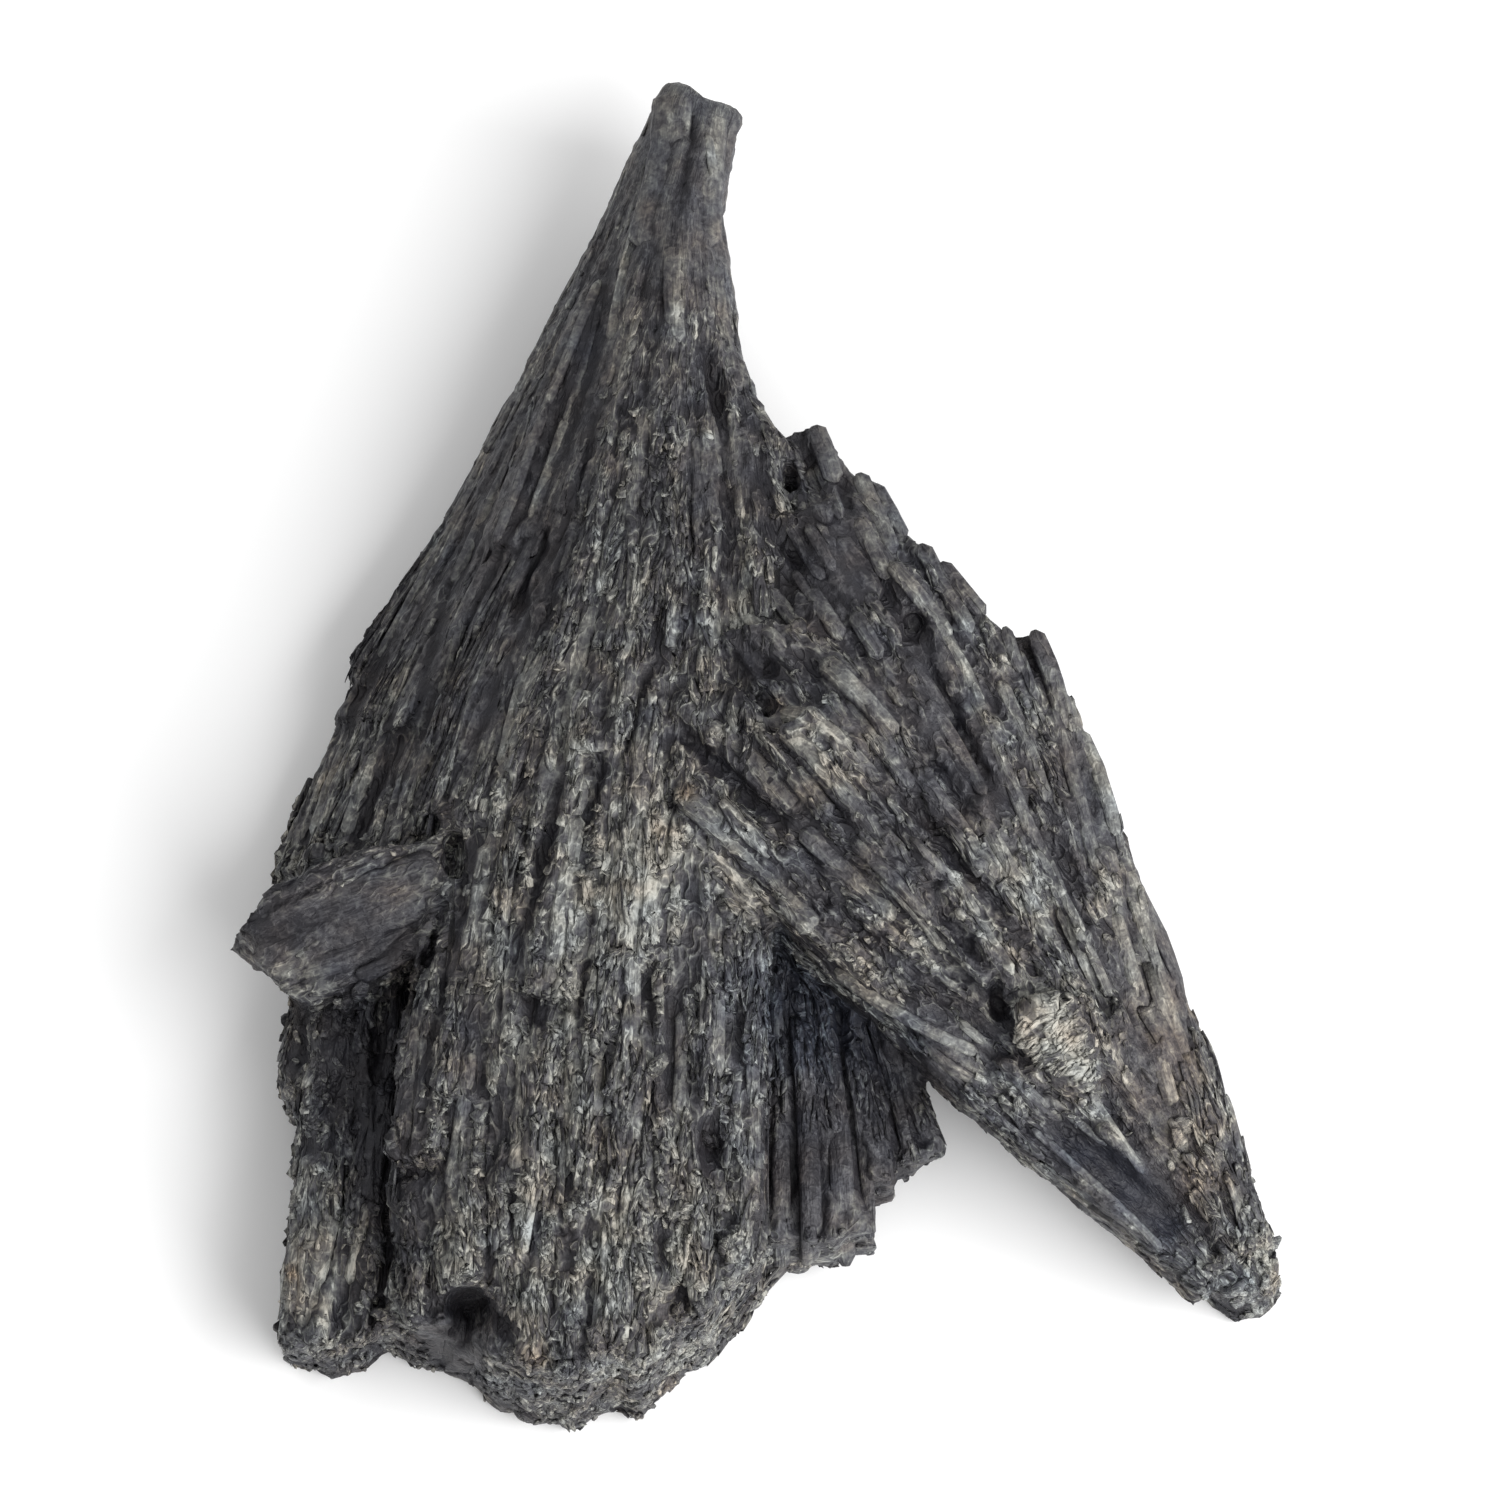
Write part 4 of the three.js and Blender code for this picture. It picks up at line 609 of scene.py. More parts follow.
def crumbliness(across, up):
    """How crumbly the crystal is at a place, from 0.2 where it is bare and smooth to 1."""
    crumbly = np.ones(len(across))
    for at_across, at_up, wide, high in BARE:
        off = ((across - at_across) / wide) ** 2 + ((up - at_up) / high) ** 2
        crumbly *= 1 - 0.8 * np.exp(-1.1 * off**2)
    return crumbly


def mark(mesh, points, tone, crest_light, grain, crumbly=1.0):
    """Keeps on every vertex what the crystal's finish reads: how pale it is, painted shade included,
    how warm, how high it stands on its blade, painted lighter there as highlight, how crumbly it
    is, and its place along the blades."""
    patch, warmth = tone_and_warmth(points)
    crumbly = crumbly * crumbliness(*as_seen(points)[:2])
    kinds = {"tone": tone + patch, "warmth": warmth, "crest_light": crest_light, "crumbly": crumbly}
    for name, values in kinds.items():
        kept = mesh.attributes.new(name, "FLOAT", "POINT")
        kept.data.foreach_set("value", np.ascontiguousarray(values, dtype=np.float32))
    kept = mesh.attributes.new("grain", "FLOAT_VECTOR", "POINT")
    kept.data.foreach_set("vector", np.ascontiguousarray(grain, dtype=np.float32).ravel())


# The furrows, cracks and pits are painted darker as shade, the raised ribs, stub and relief paler as
# highlight.
mark(
    skin_mesh,
    places,
    tone=-1.35 * sunk + 0.6 * np.minimum(raised, 0.45),
    crest_light=np.clip(0.3 + relief / MM * 1.6, 0, 1),
    grain=np.stack([beside, beyond, height], axis=1),
)


def crystal_finish(name, pale=0.0):
    """Charcoal crystal: painted shade in its furrows and small hollows, painted highlight on its crests
    and pale rims, pale flecks that run along the blades, and a faint silky gloss."""
    made = bpy.data.materials.new(name)
    made.use_nodes = True
    tree = made.node_tree
    shader = tree.nodes["Principled BSDF"]

    def node(kind, **settings):
        new = tree.nodes.new(kind)
        for key, value in settings.items():
            setattr(new, key, value)
        return new

    def feed(source, socket):
        if isinstance(source, (int, float)):
            socket.default_value = source
        else:
            tree.links.new(source, socket)

    def sum_of(kind, first, second, third=0.0, clamp=False):
        new = node("ShaderNodeMath", operation=kind, use_clamp=clamp)
        for source, socket in zip((first, second, third), new.inputs):
            feed(source, socket)
        return new.outputs[0]

    def add_up(*parts, start):
        for source, weight in parts:
            start = sum_of("MULTIPLY_ADD", source, weight, start)
        return start

    def read(attribute, output):
        return node("ShaderNodeAttribute", attribute_name=attribute).outputs[output]

    def speckle(place, scale, detail, stretch=(1, 1, 1), curl=0.0):
        mapping = node("ShaderNodeMapping")
        mapping.inputs["Scale"].default_value = stretch
        tree.links.new(place, mapping.inputs["Vector"])
        new = node("ShaderNodeTexNoise")
        new.inputs["Scale"].default_value = scale
        new.inputs["Detail"].default_value = detail
        new.inputs["Roughness"].default_value = 0.65
        new.inputs["Distortion"].default_value = curl
        tree.links.new(mapping.outputs[0], new.inputs["Vector"])
        return new.outputs["Fac"]

    grain = read("grain", "Vector")
    place = node("ShaderNodeTexCoord").outputs["Object"]
    flecks = speckle(grain, 1, 2, stretch=(2.6, 1, 2.6))
    lines = speckle(grain, 1, 2, stretch=(7, 0.5, 7))
    grains = speckle(place, 2300, 2, curl=0.6)
    clouds = speckle(place, 260, 2)
    swirls = speckle(grain, 1, 0.6, stretch=(1.75, 0.7, 1.75), curl=0.7)
    # Pale rims round the swirls are painted highlight and their dark cores painted shade; both feed the bump
    # too.
    rims = sum_of("ABSOLUTE", sum_of("SUBTRACT", swirls, 0.5), 0.0)
    rims = sum_of("MULTIPLY_ADD", rims, -14.0, 1.0, clamp=True)
    lit_curls = sum_of("MULTIPLY", rims, read("crumbly", "Fac"))
    shaded_hollows = sum_of("MULTIPLY_ADD", swirls, -9.0, 3.8, clamp=True)
    shaded_hollows = sum_of("MULTIPLY", shaded_hollows, read("crumbly", "Fac"))

    speckled = ((flecks, 0.85), (grains, 1.1), (lines, 0.4), (clouds, 0.6), (lit_curls, 0.5), (shaded_hollows, -0.3))
    # Crest light paints the tops of things paler as highlight and their lower parts darker as shade.
    marked = ((read("crest_light", "Fac"), 0.4), (read("tone", "Fac"), 0.6))
    pale_part = add_up(*speckled, *marked, start=pale - 1.33)
    ramp = node("ShaderNodeValToRGB")
    stops = ramp.color_ramp.elements
    stops[0].position, stops[0].color = 0.0, (0.018, 0.017, 0.021, 1)
    stops[1].position, stops[1].color = 1.0, (0.375, 0.372, 0.335, 1)
    between = {0.3: (0.056, 0.054, 0.059), 0.55: (0.105, 0.104, 0.1), 0.8: (0.197, 0.197, 0.18)}
    for position, color in between.items():
        stops.new(position).color = (*color, 1)
    tree.links.new(pale_part, ramp.inputs["Fac"])

    drift = sum_of("MULTIPLY_ADD", speckle(place, 420, 1), 2.4, -1.2)
    warmth = sum_of("ADD", read("warmth", "Fac"), drift)
    tinted = ramp.outputs["Color"]
    for tint, weight in (((1.3, 0.99, 0.78, 1), 0.6), ((0.82, 0.97, 1.22, 1), -0.7)):
        tinting = node("ShaderNodeMix", data_type="RGBA", blend_type="MULTIPLY")
        tinting.inputs["B"].default_value = tint
        tree.links.new(tinted, tinting.inputs["A"])
        tree.links.new(sum_of("MULTIPLY", warmth, weight, clamp=True), tinting.inputs["Factor"])
        tinted = tinting.outputs["Result"]
    tree.links.new(tinted, shader.inputs["Base Color"])

    tree.links.new(sum_of("MULTIPLY_ADD", grains, -0.5, 0.82), shader.inputs["Roughness"])
    shader.inputs["Specular IOR Level"].default_value = 0.4
    relief = add_up((lines, 0.7), (flecks, 0.8), (lit_curls, 0.9), (shaded_hollows, -1.0), start=grains)
    bump = node("ShaderNodeBump")
    bump.inputs["Strength"].default_value = 0.9
    bump.inputs["Distance"].default_value = 0.12 * MM
    tree.links.new(relief, bump.inputs["Height"])
    tree.links.new(bump.outputs["Normal"], shader.inputs["Normal"])
    return made


def add_piece(name, mesh, material, smooth=True):
    """A finished piece that rides with the specimen."""
    mesh.name = name
    mesh.materials.clear()
    mesh.materials.append(material)
    mesh.polygons.foreach_set("use_smooth", [smooth] * len(mesh.polygons))
    piece = bpy.data.objects.new(name, mesh)
    scene.collection.objects.link(piece)
    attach(piece, "root")
    return piece


body = add_piece("fan_body", skin_mesh, crystal_finish("charcoal_crystal"))
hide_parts("crystal_fan")

# ---- Splinters of the main fan ------------------------------------------------------------------
# The blades are bundles of thin splinters that grew side by side, and each broke off at its own
# length. They lie along the blades like straw, rooted towards the handle and loose at the end.

SPLINTER_KINDS = 14
STEP_DROP = 0.4  # a splinter ends where the body drops away by more than this, in mm
END_FACING = 0.65  # past this, a face is a broken end and no splinter lies on it
FURROW_DEPTH = 0.16  # no splinter starts in a furrow deeper than this
CLEAR_OF_TABLE = 0.25  # nothing is laid lower than this, in mm
SIDE_ON = 0.3  # fewer splinters lie where the body is turned to the eye less than this
SIDE_ON_SHARE = 0.4
LAID_SHARE = 0.55  # a splinter stays if more than this share of its rings lies on the body
GRAIN_SPREAD = 400  # each splinter's flecks start at a place of their own, this far apart at most


def triangles_of(form):
    """The corners of a form and its triangles. The form is used up."""
    bmesh.ops.triangulate(form, faces=form.faces[:])
    form.verts.index_update()
    corners = np.array([v.co for v in form.verts])
    triangles = np.array([[v.index for v in f.verts] for f in form.faces])
    form.free()
    return corners, triangles


def splinter_kinds(chance, sides, rings, rough):
    """The corners of a few kinds of splinter, as along (0 to 1), aside and above (-1 to 1), and the
    triangles that all of them share."""
    form = bmesh.new()
    bmesh.ops.create_cone(form, cap_ends=True, segments=sides, radius1=1, radius2=1, depth=1)
    lengthwise = [e for e in form.edges if abs(e.verts[0].co.z - e.verts[1].co.z) > 0.5]
    bmesh.ops.subdivide_edges(form, edges=lengthwise, cuts=rings - 2, use_grid_fill=True)
    round_form, faces = triangles_of(form)
    round_form[:, :2] = np.sign(round_form[:, :2]) * np.abs(round_form[:, :2]) ** 0.8
    along = round_form[:, 2] + 0.5
    ring = np.round(along * (rings - 1)).astype(int)
    alike = (SPLINTER_KINDS, rings)
    taper = np.interp(along, [0, 0.3, 0.8, 1], [0.45, 1, 1, 0.85])
    swell = 1 + rough * chance.uniform(-1, 1, alike)[:, ring]
    wander = rough * chance.uniform(-1, 1, alike)[:, ring]
    jitter = 0.75 * rough * chance.uniform(-1, 1, (3, SPLINTER_KINDS, len(along)))
    aside = round_form[:, 0] * taper * swell + wander + jitter[0]
    above = round_form[:, 1] * taper * (1 + rough * chance.uniform(-1, 1, alike)[:, ring]) + jitter[1]
    along = along + np.where(ring == rings - 1, jitter[2] * 0.6, 0)
    return along, aside, above, faces


skin_faces = np.array([f.center for f in skin_mesh.polygons])
skin_outward = np.array([f.normal for f in skin_mesh.polygons])
skin_corners = [tuple(f.vertices) for f in skin_mesh.polygons]
face_sunk = np.array([sunk[list(corners)].mean() for corners in skin_corners])
face_fan, face_run, _, _ = blade_lines(skin_faces)
face_across, face_up, face_height = as_seen(skin_faces)
face_weight = crumbliness(face_across, face_up)
facing_along = np.abs(np.sum(skin_outward * face_run, axis=1))
skin_tree = BVHTree.FromPolygons(places.tolist(), skin_corners)


def unit(rows):
    return rows / np.maximum(np.linalg.norm(rows, axis=-1, keepdims=True), 1e-12)


def triangle_mesh(name, corners, faces):
    """A mesh of triangles, with nothing below the table."""
    corners = corners.reshape(-1, 3) * MM
    corners[:, 2] = np.maximum(corners[:, 2], 0)
    mesh = bpy.data.meshes.new(name)
    mesh.vertices.add(len(corners))
    mesh.vertices.foreach_set("co", corners.ravel())
    mesh.loops.add(faces.size)
    mesh.loops.foreach_set("vertex_index", faces.ravel())
    mesh.polygons.add(len(faces))
    mesh.polygons.foreach_set("loop_start", np.arange(0, faces.size, 3))
    mesh.update(calc_edges=True)
    return mesh, corners


def covered(meshes):
    """What lies on top: the body with the pieces that are laid on it so far."""
    corners, faces = [], []
    for mesh in meshes:
        faces += [tuple(v + len(corners) for v in f.vertices) for f in mesh.polygons]
        corners += vectors(mesh.vertices, "co").tolist()
    return BVHTree.FromPolygons(corners, faces)


# Painted shade: blades are darker down their sides and underneath.
SIDE_SHADE = 0.55  # how much darker a blade is down its sides
BLADES_CRUMBLY = 0.5
BLADE_SIDES = 12
BLADE_STEP = 4  # every fourth point of a traced line is a ring
HIGH_ABOVE = 30  # the body is looked for from here down, in mm


def lay_long_blades(name, lines, seed):
    """Adds a piece of single long blades. Each follows its own line over the body, with rounded ends,
    its lower half sunk in. Lines give the half width, how far the blade stands out, how much
    paler it is, and where it runs (across, up)."""
    chance = np.random.default_rng(seed)
    turns = np.arange(BLADE_SIDES) / BLADE_SIDES * 2 * math.pi
    wide = np.sign(np.cos(turns)) * np.abs(np.cos(turns)) ** 0.75
    high = np.sign(np.sin(turns)) * np.abs(np.sin(turns)) ** 0.75
    ahead = np.roll(np.arange(BLADE_SIDES), -1)
    corners, faces, tones, ridges, grains, total = [], [], [], [], [], 0
    for half_width, out, paler, line in lines:
        points = traced(line)[0]
        points = points[np.arange(0, len(points), BLADE_STEP)]
        rings = len(points)
        heights, facings = np.full(rings, np.nan), np.zeros((rings, 3))
        ys = AIM_MM[1] + (points[:, 1] - (HIGH_ABOVE - AIM_MM[2]) * COS_SIGHT) / SIN_SIGHT
        for k in range(rings):
            start = Vector((points[k, 0] + AIM_MM[0], ys[k], HIGH_ABOVE)) * MM
            found, facing, _, _ = skin_tree.ray_cast(start, -sight)
            if found:
                heights[k], facings[k] = found.z / MM, facing
        seen = np.isfinite(heights)
        along = np.arange(rings)
        trend = np.polyfit(along[seen], heights[seen], 2 if rings < 12 else 4)
        heights = np.polyval(trend, np.clip(along, along[seen].min(), along[seen].max()))
        centers = np.stack([
            points[:, 0] + AIM_MM[0],
            AIM_MM[1] + (points[:, 1] - (heights - AIM_MM[2]) * COS_SIGHT) / SIN_SIGHT,
            heights,
        ], axis=1)
        way = unit(np.gradient(centers, axis=0))
        normal = unit(facings.sum(axis=0)) * 0.6 + toward_sight
        normal = unit(normal - way * np.sum(way * normal, axis=1)[:, None])
        aside = np.cross(way, normal)
        walked = along * LINE_STEP * BLADE_STEP
        from_end = np.minimum(walked, walked[-1] - walked) / (half_width * 0.6)
        taper = 0.35 + 0.65 * np.sqrt(1 - (1 - np.clip(from_end, 0, 1)) ** 2)
        thick = min(half_width * 0.6, 0.5)
        number = len(corners) * 7.3
        swell = np.array([
            1 + 0.16 * noise.noise((j * 1.7, w * 0.12, number)) + 0.1 * noise.noise((j, w * 1.1, number + 3))
            for w in walked
            for j in range(BLADE_SIDES)
        ]).reshape(rings, BLADE_SIDES)
        middle = centers + normal * (out - thick)
        ring = (
            middle[:, None]
            + aside[:, None] * (wide * half_width * swell * taper[:, None])[..., None]
            + normal[:, None] * (high * thick * swell * taper[:, None])[..., None]
        )
        corners.append(np.concatenate([ring.reshape(-1, 3), middle[:1], middle[-1:]]))
        k, j = np.meshgrid(np.arange(rings - 1), np.arange(BLADE_SIDES), indexing="ij")
        this, after = k * BLADE_SIDES + j, (k + 1) * BLADE_SIDES + j
        this_next, after_next = k * BLADE_SIDES + ahead[j], (k + 1) * BLADE_SIDES + ahead[j]
        sides = np.concatenate([
            np.stack([this, after, after_next], axis=-1).reshape(-1, 3),
            np.stack([this, after_next, this_next], axis=-1).reshape(-1, 3),
        ])
        first, last, rim = rings * BLADE_SIDES, rings * BLADE_SIDES + 1, np.arange(BLADE_SIDES)
        root = np.stack([np.full(BLADE_SIDES, first), rim, ahead], axis=1)
        top = (rings - 1) * BLADE_SIDES
        end = np.stack([np.full(BLADE_SIDES, last), top + ahead, top + rim], axis=1)
        faces.append(np.concatenate([sides, root, end]) + total)
        total += len(corners[-1])
        beside_middle = np.tile(wide * half_width, rings).tolist() + [0, 0]
        steps = np.repeat(walked, BLADE_SIDES).tolist() + [0, walked[-1]]
        # Painted shade down each blade's sides and underneath, and painted highlight along its top.
        shade = np.tile(-SIDE_SHADE * (1 - np.clip(high * 1.7, 0, 1)), rings).tolist()
        tones.append(np.array(shade + [-SIDE_SHADE] * 2) + paler + chance.normal(0, 0.04))
        ridges.append(np.tile(0.5 + 0.3 * high, rings).tolist() + [0.5, 0.5])
        grains.append(np.stack([np.array(beside_middle) + number * 3, steps, np.zeros(len(steps))], axis=1))
    mesh, corners = triangle_mesh(name, np.concatenate(corners), np.concatenate(faces))
    mark(
        mesh,
        corners,
        tone=np.concatenate(tones),
        crest_light=np.concatenate(ridges),
        grain=np.concatenate(grains),
        crumbly=BLADES_CRUMBLY,
    )
    add_piece(name, mesh, splinter_crystal)
    return mesh


def clear_of(lines):
    """How likely a splinter is on each face, being seldom where one of the long blades lies."""
    kept = np.ones(len(face_across))
    tree = KDTree(sum(len(traced(line)[0]) for *_, line in lines))
    widths = []
    for half_width, _, _, line in lines:
        for point in traced(line)[0]:
            tree.insert((*point, 0), len(widths))
            widths.append(half_width)
    tree.balance()
    for i, place in enumerate(zip(face_across, face_up)):
        _, index, off = tree.find((*place, 0))
        if off < widths[index] + 0.15:
            kept[i] = LEFT_ON_BLADES
    return kept


LEFT_ON_BLADES = 0.22
OVERHEAD = 1.2  # the top is looked for from this far above, in mm


def lay_splinters(
    name, where, count, length, width, proud, seed,
    on=skin_tree, tone=0.0, thick=0.42, sides=5, rings=5, rough=0.25, crosswise=False, stray=0.05, cupped=0.0,
):
    """Adds a piece of splinters laid on the body. Where picks the body's faces; length, width and proud
    are the least and most of each, in millimetres; thick is their height for their width; stray
    is how much they turn from the blades; cupped is how hollow they are, with painted shade in the
    hollow and painted highlight on their pale rims."""
    chance = np.random.default_rng(seed)
    open_to_air = (face_height > CLEAR_OF_TABLE) & (facing_along < END_FACING) & (face_sunk < FURROW_DEPTH)
    choices = np.flatnonzero(where & open_to_air)
    weights = np.ones(len(choices)) if crosswise else face_weight[choices]
    side_on = np.abs(skin_outward[choices] @ toward_sight) < SIDE_ON
    weights = weights * np.where(side_on, SIDE_ON_SHARE, 1)
    count = int(count * weights.mean())
    picked = chance.choice(choices, size=count, p=weights / weights.sum())
    normal, run = skin_outward[picked], face_run[picked]
    if crosswise:
        run = np.cross(normal, run)
    way = unit(run - normal * np.sum(normal * run, axis=1)[:, None])
    beside = np.cross(normal, way)
    way = unit(way + beside * chance.normal(0, stray, count)[:, None])
    middle = skin_faces[picked] / MM + beside * chance.uniform(-0.15, 0.15, count)[:, None]
    lengths = length[0] + (length[1] - length[0]) * chance.uniform(0, 1, count) ** 1.5
    widths, stands = chance.uniform(*width, count), chance.uniform(*proud, count)
    stands *= 0.3 + 0.7 * face_weight[picked]
    open_side = np.clip(0.08 + normal @ toward_sight * 1.3, 0.08, 1)
    stands *= open_side

    shares = np.linspace(-0.5, 0.5, rings)
    guesses = middle[:, None] + way[:, None] * (shares * lengths[:, None])[..., None]
    centers, normals = guesses.copy(), np.repeat(normal[:, None], rings, axis=1)
    lies = np.zeros((count, rings), dtype=bool)
    halfway = rings // 2
    order = [(halfway, halfway)]
    order += [(k, k - 1) for k in range(halfway + 1, rings)]
    order += [(k, k + 1) for k in range(halfway - 1, -1, -1)]
    for k, before in order:
        level = np.sum((centers[:, before] - guesses[:, k]) * normal, axis=1)[:, None]
        starts = guesses[:, k] + normal * (level + OVERHEAD)
        for i in range(count):
            if k != before and not lies[i, before]:
                continue
            found, facing_out, face, fall = on.ray_cast(
                Vector(starts[i]) * MM, Vector(-normal[i]), 2 * OVERHEAD * MM
            )
            if not found or (face < len(face_sunk) and face_sunk[face] > FURROW_DEPTH):
                continue
            if k == before or abs(fall / MM - OVERHEAD) < STEP_DROP:
                centers[i, k], normals[i, k], lies[i, k] = found / MM, facing_out, True
        cut = ~lies[:, k]
        tuck = way[cut] * 0.06 * (k - before) - normal[cut] * 0.05
        centers[cut, k], normals[cut, k] = centers[cut, before] + tuck, normals[cut, before]
    whole = lies.mean(axis=1) > LAID_SHARE
    count = int(whole.sum())
    centers, normals, normal, way = centers[whole], normals[whole], normal[whole], way[whole]
    lengths, widths, stands = lengths[whole], widths[whole], stands[whole]
    open_side = open_side[whole]
    normals = unit(unit(normals) + normal[:, None])
    normals[:, 1:-1] = unit(normals[:, :-2] + normals[:, 1:-1] + normals[:, 2:])
    asides = unit(np.cross(way[:, None], normals))

    along, aside, above, form_faces = splinter_kinds(chance, sides, rings, rough)
    kind = np.arange(count) % SPLINTER_KINDS
    along, aside, above = along[kind], aside[kind], above[kind]
    hollow = cupped * np.clip(1 - np.abs(aside) * 1.8, 0, 1) * (above > 0) * (along < 0.9)
    rim = cupped * np.clip(np.abs(aside) * 1.4, 0, 1) * (above > 0)
    above = above + 0.5 * rim - hollow
    at = np.clip(along, 0, 1) * (rings - 1)
    low = np.minimum(at.astype(int), rings - 2)
    part, rows = (at - low)[..., None], np.arange(count)[:, None]

    def between(values):
        return values[rows, low] * (1 - part) + values[rows, low + 1] * part

    widths, stands, lengths = widths[:, None], stands[:, None], lengths[:, None]
    heights = widths * thick * (0.45 + 0.55 * open_side[:, None])
    lift = stands * np.clip(along, 0, 1) ** 0.7 - heights * 0.4 * (1 - along)
    corners = (
        between(centers)
        + between(asides) * (aside * widths / 2)[..., None]
        + between(normals) * (above * heights / 2 + lift)[..., None]
        + way[:, None] * ((along - np.clip(along, 0, 1)) * lengths)[..., None]
    )
    faces = (form_faces + np.arange(count)[:, None, None] * along.shape[1]).reshape(-1, 3)
    mesh, corners = triangle_mesh(name, corners, faces)
    start = chance.uniform(0, GRAIN_SPREAD, count)[:, None]
    # Painted shade down the splinters' sides and in their hollows, painted highlight on tops and rims.
    mark(
        mesh,
        corners,
        tone=(
            chance.normal(tone, 0.17, count)[:, None]
            + 0.12 * (along - 0.5)
            - (SIDE_SHADE if width[1] > 1 else 0.12) * (1 - np.clip(above * 1.7, 0, 1))
        ).ravel(),
        crest_light=np.clip(0.4 + above * 0.4 + 0.3 * rim - 0.5 * hollow, 0, 1).ravel(),
        grain=np.stack([aside * widths / 2 + start, along * lengths, above * heights], axis=-1),
    )
    add_piece(name, mesh, splinter_crystal)
    return mesh


CRUMB_CUTS = 4  # flat broken faces on a crumb


def lay_crumbs(name, where, count, size, seed, tone=0.0, sunk_in=0.12, upright=False):
    """Adds a piece of angular crumbs stuck to the body, size being the least and most across and
    sunk_in how deep they sit for their height. Upright ones are long and stand on end."""
    chance = np.random.default_rng(seed)
    form = bmesh.new()
    bmesh.ops.create_uvsphere(form, u_segments=7, v_segments=5, radius=0.5)
    ball, form_faces = triangles_of(form)
    picked = chance.choice(np.flatnonzero(where), size=count)
    normal = skin_outward[picked]
    ahead = (np.array([[0, 0, -1.5]]) if upright else face_run[picked]) + chance.normal(0, 0.45, (count, 3))
    ahead = unit(ahead - normal * np.sum(normal * ahead, axis=1)[:, None])
    aside = np.cross(normal, ahead)
    sizes = chance.uniform(*size, (count, 1)) * np.array([[[2.3 if upright else 1.2]], [[0.8]], [[0.65]]])
    sizes = sizes * chance.uniform(0.7, 1.2, (3, count, 1))
    lumps = np.repeat(ball[None], count, axis=0)
    for _ in range(CRUMB_CUTS):
        cut = unit(chance.normal(size=(count, 1, 3)))
        beyond_cut = np.sum(lumps * cut, axis=2, keepdims=True) - chance.uniform(0.12, 0.36, (count, 1, 1))
        lumps = lumps - np.maximum(beyond_cut, 0) * cut
    centers = skin_faces[picked] / MM - normal * sizes[2] * sunk_in
    corners = centers[:, None] + sum(
        (lumps[..., k] * sizes[k])[..., None] * axis[:, None] for k, axis in enumerate((ahead, aside, normal))
    )
    faces = (form_faces + np.arange(count)[:, None, None] * len(ball)).reshape(-1, 3)
    mesh, corners = triangle_mesh(name, corners, faces)
    # Painted highlight on the tops of the crumbs, painted shade below.
    mark(
        mesh,
        corners,
        tone=np.repeat(chance.normal(tone, 0.2, count), len(ball)),
        crest_light=np.clip(0.5 + lumps[..., 2], 0, 1).ravel(),
        grain=lumps * sizes[0][..., None] + chance.uniform(0, GRAIN_SPREAD, (count, 1, 1)),
    )
    add_piece(name, mesh, splinter_crystal, smooth=upright)


splinter_crystal = crystal_finish("splinter_crystal", pale=0.02)
on_main = face_fan == MAIN
blade = {"sides": 6, "rings": 6, "thick": 0.26, "rough": 0.1}
# cupped splinters are painted dark inside as shade and pale on their rims as highlight
cup = {"cupped": 1, "thick": 0.6, "rough": 0.32}  # short hollow splinters with pale rims
HANDLE_FROM = 22  # how far up the handle and the upper fan start
UPPER_FROM = -4
